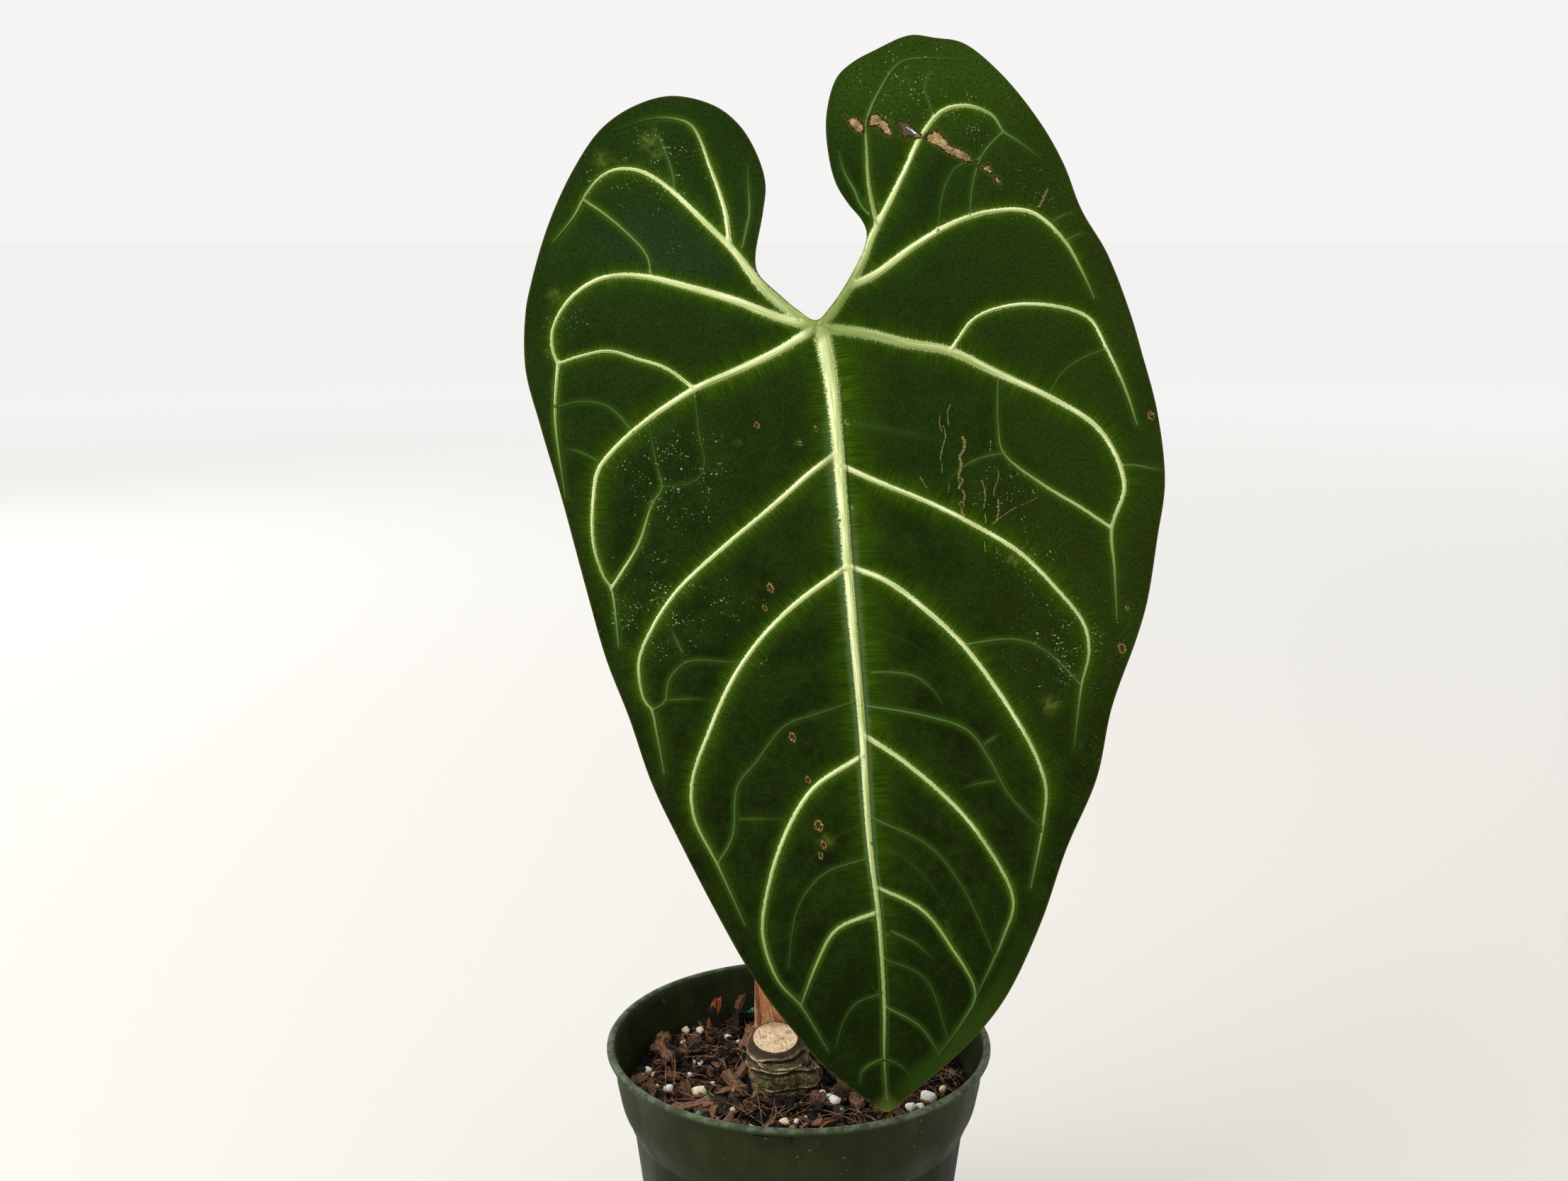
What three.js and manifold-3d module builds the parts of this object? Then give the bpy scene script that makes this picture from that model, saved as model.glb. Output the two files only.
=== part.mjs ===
// A potted anthurium: one large heart-shaped leaf on its stalk, beside a cut-back stem, in a nursery pot.
// Sizes are in millimetres, +Z is up, and the origin is the middle of the underside of the pot.

import * as THREE from "three";
import { mergeVertices } from "three/addons/utils/BufferGeometryUtils.js";
import Module from "manifold-3d";

const wasm = await Module();
wasm.setup();

// Driving dimensions

const clearance = 0.3;

const potHeight = 145;
const lipRadius = 82.5;
const collarHeight = 36;
const potBaseRadius = 58;
const potWall = 1.5;
const potFloor = 2;
const drainHoles = { count: 8, radius: 5, ring: 46 };

const soilDepth = 20;
const soilLevel = potHeight - soilDepth;

const stubCentre = new THREE.Vector2(-7, -1);
const stubTop = potHeight + 0.5;
const stubTilt = THREE.MathUtils.degToRad(15);
const stemFoot = soilLevel - 38;

const stalkFoot = new THREE.Vector3(-5, 20, soilLevel - 22);
const stalkRadius = 3.8;
const kneeRadius = 4.9;
const sheathFoot = soilLevel + 0.6;

const leafLean = THREE.MathUtils.degToRad(11.4);
const leafJunction = new THREE.Vector3(7.4, -4.4, potHeight + 304);
const bladeThickness = 1;
const sideFall = 16;
const lobeFall = 15;
const quilting = 2.4;
const marginWave = { height: 2.4, length: 56, reach: 24 };
const tipCurl = 4;
const meshStep = 10.5;

// The leaf's own plane: u runs to the right, v up along the blade, and w out of its face.
// Outline and veins are as they look square on from viewDistance in front of viewCentre.

const viewDistance = 701;
const viewCentre = { u: -13.7, v: -104.6 };
const bladeUp = new THREE.Vector3(0, Math.sin(leafLean), Math.cos(leafLean));
const bladeOut = new THREE.Vector3(0, -Math.cos(leafLean), Math.sin(leafLean));

const outline = [
  [-1, 2], [5, 8], [11, 17], [18, 31], [19, 37], [17, 42], [12, 48], [7, 56], [4, 67], [3, 83],
  [7, 98], [13, 104], [22, 109], [36, 115], [46, 114], [57, 112], [72, 100], [88, 80], [97, 64],
  [104, 46], [114, 29], [123, 6], [128, -11], [134, -34], [137, -62], [134, -84], [130, -109],
  [126, -123], [116, -151], [110, -179], [98, -207], [88, -236], [75, -264], [64, -279], [52, -291],
  [34, -306], [27, -311], [20, -307], [1, -292], [-10, -279], [-21, -265], [-30, -251], [-40, -233],
  [-54, -206], [-66, -181], [-75, -155], [-84, -132], [-92, -104], [-102, -67], [-110, -40],
  [-116, -17], [-116, 5], [-114, 16], [-107, 40], [-97, 62], [-86, 78], [-73, 87], [-58, 91],
  [-41, 87], [-31, 79], [-24, 67], [-21, 56], [-22, 45], [-25, 27], [-24, 21], [-15, 12], [-8, 6],
];

// Each vein has its path from its parent outwards, its width at both ends, and its rib on the back.

const midrib = {
  path: [
    [1, -1], [5, -22], [9, -64], [13, -112], [17, -157], [20, -202], [24, -236], [26, -269],
    [26, -289], [27, -306],
  ],
  width: [5.8, 1.2],
  rib: [3, 0.6],
};

const mainVeins = [
  { path: [[-1, 0], [-8, 4], [-22, 15], [-33, 29], [-44, 40], [-60, 55], [-70, 61], [-79, 62],
      [-86, 59], [-92, 52], [-97, 43], [-105, 33]], width: [5.4, 1], rib: [2.4, 0.3] },
  { path: [[-2, 0], [-15, 3], [-33, 10], [-54, 16], [-66, 19], [-78, 20], [-88, 18], [-98, 11],
      [-105, -1], [-105, -10], [-103, -15]], width: [4, 1.4], rib: [2, 0.3] },
  { path: [[-3, -2], [-16, -10], [-33, -18], [-49, -25], [-66, -36], [-80, -48], [-87, -57],
      [-89, -68], [-89, -86], [-85, -99], [-82, -104], [-80, -117], [-79, -127]], width: [4, 1],
    rib: [2, 0.3] },
  { path: [[8, -50], [-3, -58], [-20, -73], [-38, -88], [-56, -105], [-66, -120], [-71, -133],
      [-69, -148], [-66, -152], [-64, -161], [-61, -177]], width: [2.6, 1], rib: [1.4, 0.2] },
  { path: [[11.5, -95], [-9, -110], [-23, -124], [-34, -140], [-43, -160], [-50, -181], [-49, -195],
      [-40, -213], [-29, -237]], width: [2.6, 1], rib: [1.4, 0.2] },
  { path: [[17.5, -170], [-2, -183], [-13, -201], [-20, -223], [-22, -241], [-16, -259], [-7, -269],
      [4, -287]], width: [2.4, 1], rib: [1.2, 0.2] },
  { path: [[23, -232], [7, -239], [-1, -253], [-7, -269]], width: [1.8, 1], rib: [0.8, 0.2] },
  { path: [[1, 0], [7, 8], [13, 17], [18, 27], [21, 35], [26, 45], [34, 61], [40, 74], [49, 85],
      [59, 87], [69, 83], [73, 77], [79, 73], [88, 66]], width: [5.4, 1], rib: [2.4, 0.3] },
  { path: [[13, 16], [22, 20], [37, 31], [52, 40], [67, 45], [84, 45], [97, 34], [105, 20],
      [109, 11]], width: [3.4, 1], rib: [1.8, 0.3] },
  { path: [[3, -1], [18, -3], [35, -7], [52, -10], [69, -18], [91, -28], [109, -39], [117, -50],
      [121, -64], [116, -80], [117, -96], [118, -116]], width: [4.4, 1], rib: [2.2, 0.3] },
  { path: [[8.5, -55], [24, -62], [44, -70], [62, -79], [80, -90], [95, -105], [105, -118],
      [107, -129], [104, -142], [102, -158], [101, -167]], width: [2.6, 1], rib: [1.4, 0.2] },
  { path: [[12, -95], [27, -101], [42, -112], [57, -126], [74, -149], [86, -170], [90, -183],
      [89, -196], [84, -222]], width: [2.6, 1], rib: [1.4, 0.2] },
  { path: [[18, -162], [32, -171], [52, -188], [64, -202], [77, -227], [73, -242], [63, -264]],
    width: [2.4, 1], rib: [1.2, 0.2] },
  { path: [[23, -222], [41, -231], [52, -245], [62, -264], [57, -275], [46, -290]], width: [1.8, 1],
    rib: [0.8, 0.2] },
];

const fineVeins = [
  { path: [[-93, 50], [-83, 43], [-75, 36], [-68, 28], [-66, 19]], width: [1.2, 1] },
  { path: [[-35, 31], [-37, 45], [-43, 63], [-50, 79], [-57, 82], [-66, 82], [-81, 77]],
    width: [2.2, 1] },
  { path: [[-103, -15], [-104, -27], [-104, -39], [-102, -55], [-100, -68]], width: [1.4, 1] },
  { path: [[-49, -25], [-60, -17], [-72, -13], [-83, -10], [-94, -12], [-103, -15]],
    width: [1.4, 1.2] },
  { path: [[-73, -42], [-83, -32], [-93, -30], [-104, -32]], width: [1.2, 1] },
  { path: [[-82, -104], [-71, -86], [-66, -71], [-62, -64], [-64, -55], [-67, -38]],
    width: [1.2, 1] },
  { path: [[-49, -25], [-47, -44], [-45, -54], [-48, -61], [-62, -64]], width: [1.2, 1] },
  { path: [[-66, -152], [-61, -149], [-59, -140], [-52, -133], [-34, -133]], width: [1.2, 1] },
  { path: [[-40, -213], [-34, -202], [-32, -182], [-25, -173], [-13, -158], [-2, -154],
      [16, -148]], width: [1.2, 1] },
  { path: [[21, -210], [2, -217], [-8, -230], [-12, -254]], width: [1.2, 1] },
  { path: [[25, -264], [15, -268], [10, -275], [7, -285]], width: [1.2, 1] },
  { path: [[73, 77], [65, 68], [61, 56], [60, 44]], width: [1.2, 1] },
  { path: [[23, 40], [20, 55], [19, 70], [19, 81], [24, 93], [32, 104], [43, 106], [57, 105]],
    width: [2, 1] },
  { path: [[64, 66], [55, 63], [50, 55], [47, 38]], width: [1.2, 1] },
  { path: [[52, -10], [62, 3], [76, 8], [92, 8], [107, 3], [114, -9], [121, -24], [126, -39]],
    width: [1.5, 1] },
  { path: [[114, -9], [104, -13], [96, -19], [91, -28]], width: [1.2, 1] },
  { path: [[71, -19], [71, -39], [73, -50], [86, -61], [104, -72], [116, -80]], width: [1.2, 1] },
  { path: [[57, -126], [78, -124], [89, -128], [104, -142]], width: [1.2, 1] },
  { path: [[17, -150], [41, -154], [59, -160], [68, -172], [75, -185], [89, -200]],
    width: [1.2, 1] },
  { path: [[20, -194], [44, -206], [57, -222], [70, -250]], width: [1.2, 1] },
  { path: [[25, -250], [42, -258], [52, -284]], width: [1.2, 1] },
  { path: [[26, -269], [40, -277], [48, -288]], width: [1.2, 1] },
];

// Solids and meshes

function solidOf(geometry) {
  const bare = geometry.clone();
  bare.deleteAttribute("normal");
  bare.deleteAttribute("uv");
  const merged = mergeVertices(bare, 1e-4);
  return new wasm.Manifold(new wasm.Mesh({
    numProp: 3,
    vertProperties: new Float32Array(merged.attributes.position.array),
    triVerts: new Uint32Array(merged.index.array),
  }));
}

function geometryOf(solid) {
  const mesh = solid.getMesh();
  const geometry = new THREE.BufferGeometry();
  geometry.setAttribute("position", new THREE.BufferAttribute(mesh.vertProperties, 3));
  geometry.setIndex(new THREE.BufferAttribute(mesh.triVerts, 1));
  geometry.computeVertexNormals();
  return geometry;
}

function join(solids) {
  return solids.reduce((whole, piece) => whole.add(piece));
}

// A closed body through rings with the same number of points, each turning left about the way ahead.
function loft(rings) {
  const count = rings[0].length;
  const positions = rings.flat().flatMap((point) => [point.x, point.y, point.z]);
  const faces = [];
  for (let ring = 0; ring + 1 < rings.length; ring++) {
    for (let i = 0; i < count; i++) {
      const next = (i + 1) % count;
      const low = ring * count;
      const high = low + count;
      faces.push(low + i, low + next, high + next, low + i, high + next, high + i);
    }
  }
  const last = (rings.length - 1) * count;
  for (let i = 1; i + 1 < count; i++) {
    faces.push(0, i + 1, i);
    faces.push(last, last + i, last + i + 1);
  }
  const geometry = new THREE.BufferGeometry();
  geometry.setAttribute("position", new THREE.Float32BufferAttribute(positions, 3));
  geometry.setIndex(faces);
  geometry.computeVertexNormals();
  return geometry;
}

// A round rod along a curve. The radius is a function of the way along, and grow adds room all round.
function rod(curve, steps, sides, radiusAt, grow = 0) {
  const frames = curve.computeFrenetFrames(steps, false);
  const rings = [];
  for (let step = 0; step <= steps; step++) {
    const along = step / steps;
    const centre = curve.getPointAt(along);
    if (step === 0) centre.addScaledVector(frames.tangents[0], -grow);
    if (step === steps) centre.addScaledVector(frames.tangents[steps], grow);
    const radius = radiusAt(along) + grow;
    const ring = [];
    for (let i = 0; i < sides; i++) {
      const turn = (2 * Math.PI * i) / sides;
      ring.push(centre.clone()
        .addScaledVector(frames.normals[step], radius * Math.cos(turn))
        .addScaledVector(frames.binormals[step], radius * Math.sin(turn)));
    }
    rings.push(ring);
  }
  return loft(rings);
}

// A thin body with the same triangles on its front and back, closed by a rim.
function twoFaced(front, back, triangles) {
  const count = front.length;
  const positions = [...front, ...back].flatMap((point) => [point.x, point.y, point.z]);
  const faces = [];
  const edges = new Map();
  for (const [a, b, c] of triangles) {
    faces.push(a, b, c, a + count, c + count, b + count);
    for (const [from, to] of [[a, b], [b, c], [c, a]]) {
      if (!edges.delete(`${to} ${from}`)) edges.set(`${from} ${to}`, [from, to]);
    }
  }
  for (const [from, to] of edges.values()) {
    faces.push(from, from + count, to + count, from, to + count, to);
  }
  const geometry = new THREE.BufferGeometry();
  geometry.setAttribute("position", new THREE.Float32BufferAttribute(positions, 3));
  geometry.setIndex(faces);
  geometry.computeVertexNormals();
  return geometry;
}

// A repeatable stream of numbers from 0 to 1
function seededRandom(seed) {
  let state = seed;
  return () => {
    state = (state * 1664525 + 1013904223) % 4294967296;
    return state / 4294967296;
  };
}

// Value at x in a list of [x, value] pairs with rising x
function between(pairs, x) {
  const after = pairs.findIndex(([place]) => place >= x);
  if (after < 0) return pairs[pairs.length - 1][1];
  if (after === 0) return pairs[0][1];
  const [x0, value0] = pairs[after - 1];
  const [x1, value1] = pairs[after];
  return value0 + ((value1 - value0) * (x - x0)) / (x1 - x0);
}

// Pot

const collarFoot = potHeight - collarHeight;
const potOutside = [
  [potBaseRadius - 3, 0], [potBaseRadius - 0.6, 1.2], [potBaseRadius, 4], [71.4, collarFoot],
  [73.2, collarFoot + 3], [75.3, collarFoot + 8], [76.8, collarFoot + 13], [78.3, collarFoot + 21],
  [79.5, potHeight - 3.6], [81.8, potHeight - 3], [lipRadius, potHeight - 1.6],
  [81.7, potHeight - 0.2], [80.8, potHeight],
];
const potInside = [
  [79.4, potHeight - 0.6], [78, potHeight - 4], [76.8, collarFoot + 21], [75.3, collarFoot + 13],
  [73.8, collarFoot + 8], [71.7, collarFoot + 3.5], [69.9, collarFoot],
  [potBaseRadius - potWall, potFloor + 3], [potBaseRadius - potWall - 3, potFloor],
];

function potInsideRadius(z) {
  return between(potInside.map(([radius, height]) => [height, radius]).reverse(), z);
}

function makePot() {
  const profile = [[0, 0], ...potOutside, ...potInside, [0, potFloor]];
  const shell = new THREE.LatheGeometry(profile.map(([radius, z]) => new THREE.Vector2(radius, z)), 40);
  shell.rotateX(Math.PI / 2);
  let pot = solidOf(shell);
  if (pot.volume() < 0) throw new Error("the pot is inside out");
  for (let i = 0; i < drainHoles.count; i++) {
    const turn = (2 * Math.PI * (i + 0.5)) / drainHoles.count;
    const drill = new THREE.CylinderGeometry(drainHoles.radius, drainHoles.radius, 3 * potFloor, 12);
    drill.rotateX(Math.PI / 2);
    drill.translate(drainHoles.ring * Math.cos(turn), drainHoles.ring * Math.sin(turn), potFloor / 2);
    pot = pot.subtract(solidOf(drill));
  }
  // A small plain pad moulded on the front of the collar, just under the lip
  const pad = new THREE.BoxGeometry(14.6, 2, 4);
  pad.translate(-11, -78.9, potHeight - 5.6);
  return geometryOf(pot.add(solidOf(pad)));
}

// Stem: a ringed stub with a slanting cut face, a side swelling, and a buried shoulder for the stalk

const stubProfile = [
  [stemFoot, 10.5], [stemFoot + 14, 11.5], [soilLevel - 10, 12], [soilLevel - 2, 13.2],
  [soilLevel + 2, 13], [soilLevel + 3, 13.7], [soilLevel + 7, 13.2], [soilLevel + 8, 13.9],
  [soilLevel + 12, 13.1], [soilLevel + 13, 13.6], [soilLevel + 16, 12.6], [soilLevel + 18, 11.8],
  [soilLevel + 18.6, 10.2], [stubTop, 9.4],
];

function makeStub(grow = 0) {
  const sides = 20;
  const rings = stubProfile.map(([z, radius], index) => {
    const rise = THREE.MathUtils.clamp((z - soilLevel) / (stubTop - soilLevel), 0, 1);
    const centreX = stubCentre.x - 3 * rise;
    const centreY = stubCentre.y - rise;
    const level = index === 0 ? z - grow : z;
    return Array.from({ length: sides }, (unused, i) => {
      const turn = (2 * Math.PI * i) / sides;
      const reach = radius + grow + 0.35 * Math.sin(3 * turn + z);
      const y = reach * Math.sin(turn);
      const slant = y * Math.tan(stubTilt) * rise ** 2;
      return new THREE.Vector3(centreX + reach * Math.cos(turn), centreY + y, level + slant);
    });
  });
  return solidOf(loft(rings));
}

function makeShoulder(grow = 0) {
  const height = stalkFoot.z - clearance - stemFoot;
  const shoulder = new THREE.CylinderGeometry(8 + grow, 9 + grow, height + 2 * grow, 14);
  shoulder.rotateX(Math.PI / 2);
  shoulder.translate(stalkFoot.x, stalkFoot.y - 2, stemFoot + height / 2);
  return solidOf(shoulder);
}

function makeSwelling(grow = 0) {
  const swelling = new THREE.IcosahedronGeometry(5.4 + grow, 1);
  swelling.scale(1, 1, 1.35);
  swelling.translate(3.2, -7, soilLevel + 5.5);
  return solidOf(swelling);
}

function makeStem(grow = 0) {
  return join([makeStub(grow), makeShoulder(grow), makeSwelling(grow)]);
}

// Roots: a crown under the stem with thick roots that spread out and down through the mix

const crown = { radius: 9.5, top: stemFoot - clearance, depth: 8 };

function makeRoots(grow = 0) {
  const disc = new THREE.CylinderGeometry(crown.radius + grow, 7 + grow, crown.depth + grow, 12);
  disc.rotateX(Math.PI / 2);
  disc.translate(stubCentre.x, stubCentre.y, crown.top - (crown.depth + grow) / 2);
  const random = seededRandom(31);
  const roots = [solidOf(disc)];
  const count = 7;
  for (let i = 0; i < count; i++) {
    const turn = (2 * Math.PI * (i + 0.5 * random())) / count;
    const sway = 0.5 * (random() - 0.5);
    const depth = crown.top - crown.depth / 2 - 1;
    const reach = (radius, bend, z) => new THREE.Vector3(
      stubCentre.x * (1 - radius / 60) + radius * Math.cos(turn + bend),
      stubCentre.y + radius * Math.sin(turn + bend),
      z,
    );
    const curve = new THREE.CatmullRomCurve3([
      reach(4, 0, depth), reach(18, sway, depth - 3), reach(34, 2 * sway, depth - 16),
      reach(46, sway, depth - 34), reach(49, 0, 34 - 12 * random()),
    ]);
    roots.push(solidOf(rod(curve, 6, 5, (along) => 2.6 - 1.2 * along, grow)));
  }
  return join(roots);
}

// Stalk: rises behind the blade, and ends in a swollen knee that bends forward to it

const kneeFace = leafPoint(0.6, -6, -bladeThickness - midrib.rib[0] - clearance);
const stalkCurve = new THREE.CatmullRomCurve3([
  stalkFoot,
  new THREE.Vector3(-4.8, 20, soilLevel + 12),
  new THREE.Vector3(-3.6, 20.4, potHeight + 45),
  new THREE.Vector3(-0.8, 21.4, potHeight + 115),
  new THREE.Vector3(2.4, 22.6, potHeight + 185),
  new THREE.Vector3(5, 22.8, potHeight + 245),
  new THREE.Vector3(6.8, 20.4, potHeight + 276),
  kneeFace.clone().addScaledVector(bladeOut, -9).add(new THREE.Vector3(0, 0, -2.6)),
  kneeFace,
]);

function stalkRadiusAt(along) {
  return between([[0, 5], [0.08, 4.6], [0.2, 4.2], [0.6, stalkRadius], [0.86, stalkRadius],
    [0.92, kneeRadius], [0.97, kneeRadius], [1, 4.2]], along);
}

function makePetiole(grow = 0) {
  return solidOf(rod(stalkCurve, 34, 10, stalkRadiusAt, grow));
}

// Sheath: a papery scale round the foot of the stalk, flared to a point at its upper left

function makeCataphyll() {
  const columns = 12;
  const rows = 6;
  const wall = 0.8;
  const from = THREE.MathUtils.degToRad(130);
  const to = THREE.MathUtils.degToRad(330);
  const tipTurn = THREE.MathUtils.degToRad(200);
  const faceAt = (inset) => {
    const points = [];
    for (let row = 0; row <= rows; row++) {
      for (let column = 0; column <= columns; column++) {
        const turn = from + ((to - from) * column) / columns;
        const off = (turn - tipTurn) / (turn < tipTurn ? tipTurn - from : to - tipTurn);
        const height = 41 - 24 * Math.abs(off) ** 1.3;
        const rise = row / rows;
        const flare = 5.8 + 10.5 * (1 - Math.abs(off)) * rise ** 1.7 + 0.5 * Math.sin(5 * turn) * rise;
        const radius = flare - inset;
        points.push(new THREE.Vector3(
          stalkFoot.x + 0.4 + radius * Math.cos(turn),
          stalkFoot.y + 0.1 + radius * Math.sin(turn),
          sheathFoot + height * rise,
        ));
      }
    }
    return points;
  };
  const triangles = [];
  for (let row = 0; row < rows; row++) {
    for (let column = 0; column < columns; column++) {
      const a = row * (columns + 1) + column;
      const c = a + columns + 1;
      triangles.push([a, a + 1, c + 1], [a, c + 1, c]);
    }
  }
  return twoFaced(faceAt(0), faceAt(wall), triangles);
}

// Potting mix

function soilHeight(x, y) {
  const mound = 2.2 * Math.exp(-(((x + 7) ** 2 + y ** 2) / 500));
  const lumps = 0.9 * Math.sin(x / 7 + 1.3) * Math.cos(y / 8 - 0.4) + 0.6 * Math.sin((x - y) / 4.7);
  return soilLevel + mound + lumps - 1;
}

function makeSoilBody() {
  const sides = 32;
  const ringAt = (radius, heightAt) => Array.from({ length: sides }, (unused, i) => {
    const turn = (2 * Math.PI * i) / sides;
    const x = radius * Math.cos(turn);
    const y = radius * Math.sin(turn);
    return new THREE.Vector3(x, y, heightAt(x, y));
  });
  const rings = [];
  for (const z of [potFloor + clearance, potFloor + 3 + clearance, collarFoot - 1, collarFoot + 3.5]) {
    rings.push(ringAt(potInsideRadius(z) - 2 * clearance, () => z));
  }
  for (const radius of [74.2, 68, 58, 47, 36, 26, 12]) rings.push(ringAt(radius, soilHeight));
  return solidOf(loft(rings));
}

// A chip of bark: a slab with uneven corners
function makeChip(random, [long, wide, thick]) {
  const chip = new THREE.BoxGeometry(long, wide, thick);
  const merged = mergeVertices(chip.deleteAttribute("normal").deleteAttribute("uv"));
  const place = merged.attributes.position;
  for (let i = 0; i < place.count; i++) {
    place.setXYZ(
      i,
      place.getX(i) * (0.75 + 0.4 * random()),
      place.getY(i) * (0.7 + 0.5 * random()),
      place.getZ(i) * (0.8 + 0.4 * random()),
    );
  }
  return merged;
}

function makeGrain(random, size) {
  const grain = new THREE.OctahedronGeometry(size / 2, 0);
  grain.scale(1, 0.75 + 0.3 * random(), 0.7 + 0.3 * random());
  return grain;
}

// Bark and perlite that stand out by the look of the surface: [x, y, long, wide, thick, turn, tip up]
const placedChips = [
  [-37, 2, 11, 5, 2.5, 20, 78], [-29, 12, 14, 2.4, 2.4, 60, 35], [-41, -34, 18, 8, 3, 5, 8],
  [-57, -16, 14, 5, 2.5, 40, 20], [-60, 6, 12, 7, 3, 110, 12], [-48, 24, 13, 6, 3, 30, 15],
  [-30, 40, 15, 7, 3, 80, 10], [44, -36, 14, 7, 3, 150, 14], [52, 4, 15, 8, 3, 70, 10],
  [30, 30, 14, 6, 3, 20, 18], [8, 52, 16, 7, 3, 130, 10], [24, -20, 12, 6, 2.5, 100, 15],
  [-22, -50, 13, 6, 2.5, 160, 12], [14, -46, 12, 5, 2.5, 60, 20], [-64, -26, 9, 5, 3, 10, 25],
];
const placedPerlite = [
  [-43, 3, 4.5], [-31, 1, 4], [-43, -11, 4], [-42, -30, 7.5], [-49, -6, 3.5], [-66, -14, 4],
  [-60, -13, 3.5], [-55, -24, 4], [15, -31, 8], [47, -38, 5], [51, -37, 4], [54, -34, 7.5],
  [-18, -47, 4.5], [-5, -45, 4], [5, -19, 4], [-35, -60, 4], [34, 48, 5], [-12, 60, 5], [62, 14, 4.5],
];

function makePottingMix() {
  const random = seededRandom(7);
  let mix = makeSoilBody();
  const setDown = (geometry, x, y, turn, tip, lift) => {
    geometry.rotateY(-THREE.MathUtils.degToRad(tip));
    geometry.rotateZ(THREE.MathUtils.degToRad(turn));
    geometry.translate(x, y, soilHeight(x, y) + lift);
    mix = mix.add(solidOf(geometry));
  };
  for (const [x, y, long, wide, thick, turn, tip] of placedChips) {
    setDown(makeChip(random, [long, wide, thick]), x, y, turn, tip, 0.6 + 0.02 * tip);
  }
  for (const [x, y, size] of placedPerlite) setDown(makeGrain(random, size), x, y, 0, 0, 0.1 * size);
  // Smaller pieces strewn over the rest, denser than real ones are worth drawing
  const strewn = 24;
  for (let i = 0; i < strewn; i++) {
    const reach = 30 + 39 * Math.sqrt((i + 0.5) / strewn);
    const turn = 2.4 * i;
    const size = 4 + 6 * random();
    const sizes = [size, size * 0.6, 2.4];
    setDown(makeChip(random, sizes), reach * Math.cos(turn), reach * Math.sin(turn), 360 * random(),
      40 * random(), 0.4);
  }
  const seat = new THREE.CylinderGeometry(9, 9, 20, 16);
  seat.rotateX(Math.PI / 2);
  seat.translate(stalkFoot.x, stalkFoot.y, sheathFoot - clearance + 10);
  const holes = [makeStem(clearance), makePetiole(clearance), makeRoots(clearance), solidOf(seat)];
  for (const hole of holes) mix = mix.subtract(hole);
  return mix.decompose().sort((a, b) => b.volume() - a.volume())[0];
}

// Blade

function midribAt(v) {
  return between(midrib.path.map(([u, height]) => [height, u]).reverse(), v);
}

function leafPoint(u, v, w, seen = w) {
  const shrink = 1 - seen / viewDistance;
  return leafJunction.clone()
    .add(new THREE.Vector3(viewCentre.u + (u - viewCentre.u) * shrink, 0, 0))
    .addScaledVector(bladeUp, viewCentre.v + (v - viewCentre.v) * shrink)
    .addScaledVector(bladeOut, w);
}

function curveOf(path, closed = false) {
  return new THREE.CatmullRomCurve3(path.map(([u, v]) => new THREE.Vector3(u, v, 0)), closed);
}

function samplePath(path, step) {
  const curve = curveOf(path);
  return curve.getSpacedPoints(Math.max(2, Math.round(curve.getLength() / step)));
}

function sampleOutline(step) {
  const curve = curveOf(outline, true);
  return outline.flatMap(([u, v], index) => {
    const [nextU, nextV] = outline[(index + 1) % outline.length];
    const parts = Math.max(1, Math.round(Math.hypot(nextU - u, nextV - v) / step));
    return Array.from({ length: parts }, (unused, part) =>
      curve.getPoint((index + part / parts) / outline.length));
  });
}

function nearest(points, u, v) {
  let best = Infinity;
  let at = 0;
  points.forEach((point, index) => {
    const distance = Math.hypot(point.x - u, point.y - v);
    if (distance < best) {
      best = distance;
      at = index;
    }
  });
  return { distance: best, at };
}

function isInside(points, u, v) {
  let inside = false;
  points.forEach((a, index) => {
    const b = points[(index + 1) % points.length];
    if (a.y > v !== b.y > v && u < a.x + ((b.x - a.x) * (v - a.y)) / (b.y - a.y)) inside = !inside;
  });
  return inside;
}

const rim = sampleOutline(meshStep);
const rimFine = sampleOutline(2);
const allVeins = [midrib, ...mainVeins, ...fineVeins];
const veinTrace = allVeins.flatMap(({ path }) => samplePath(path, 3));

// Height of the blade's face: an arch across the midrib, lobes that fall back, quilted panels, waved rim
function relief(u, v) {
  const side = (u - midribAt(v)) / 130;
  const lobe = Math.max(0, v) / 115;
  const tip = Math.max(0, -v - 250) / 60;
  const toRim = nearest(rimFine, u, v);
  const nearRim = Math.max(0, 1 - toRim.distance / marginWave.reach);
  const rimLength = (toRim.at / rimFine.length) * 1180;
  const wave = marginWave.height * Math.sin((2 * Math.PI * rimLength) / marginWave.length);
  const fromVein = nearest(veinTrace, u, v).distance;
  const puff = quilting * (1 - Math.exp(-((fromVein / 7) ** 2))) * (1 - 0.6 * nearRim);
  return puff - sideFall * side ** 2 - lobeFall * lobe ** 2 + tipCurl * tip ** 2
    + wave * nearRim ** 2;
}

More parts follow.
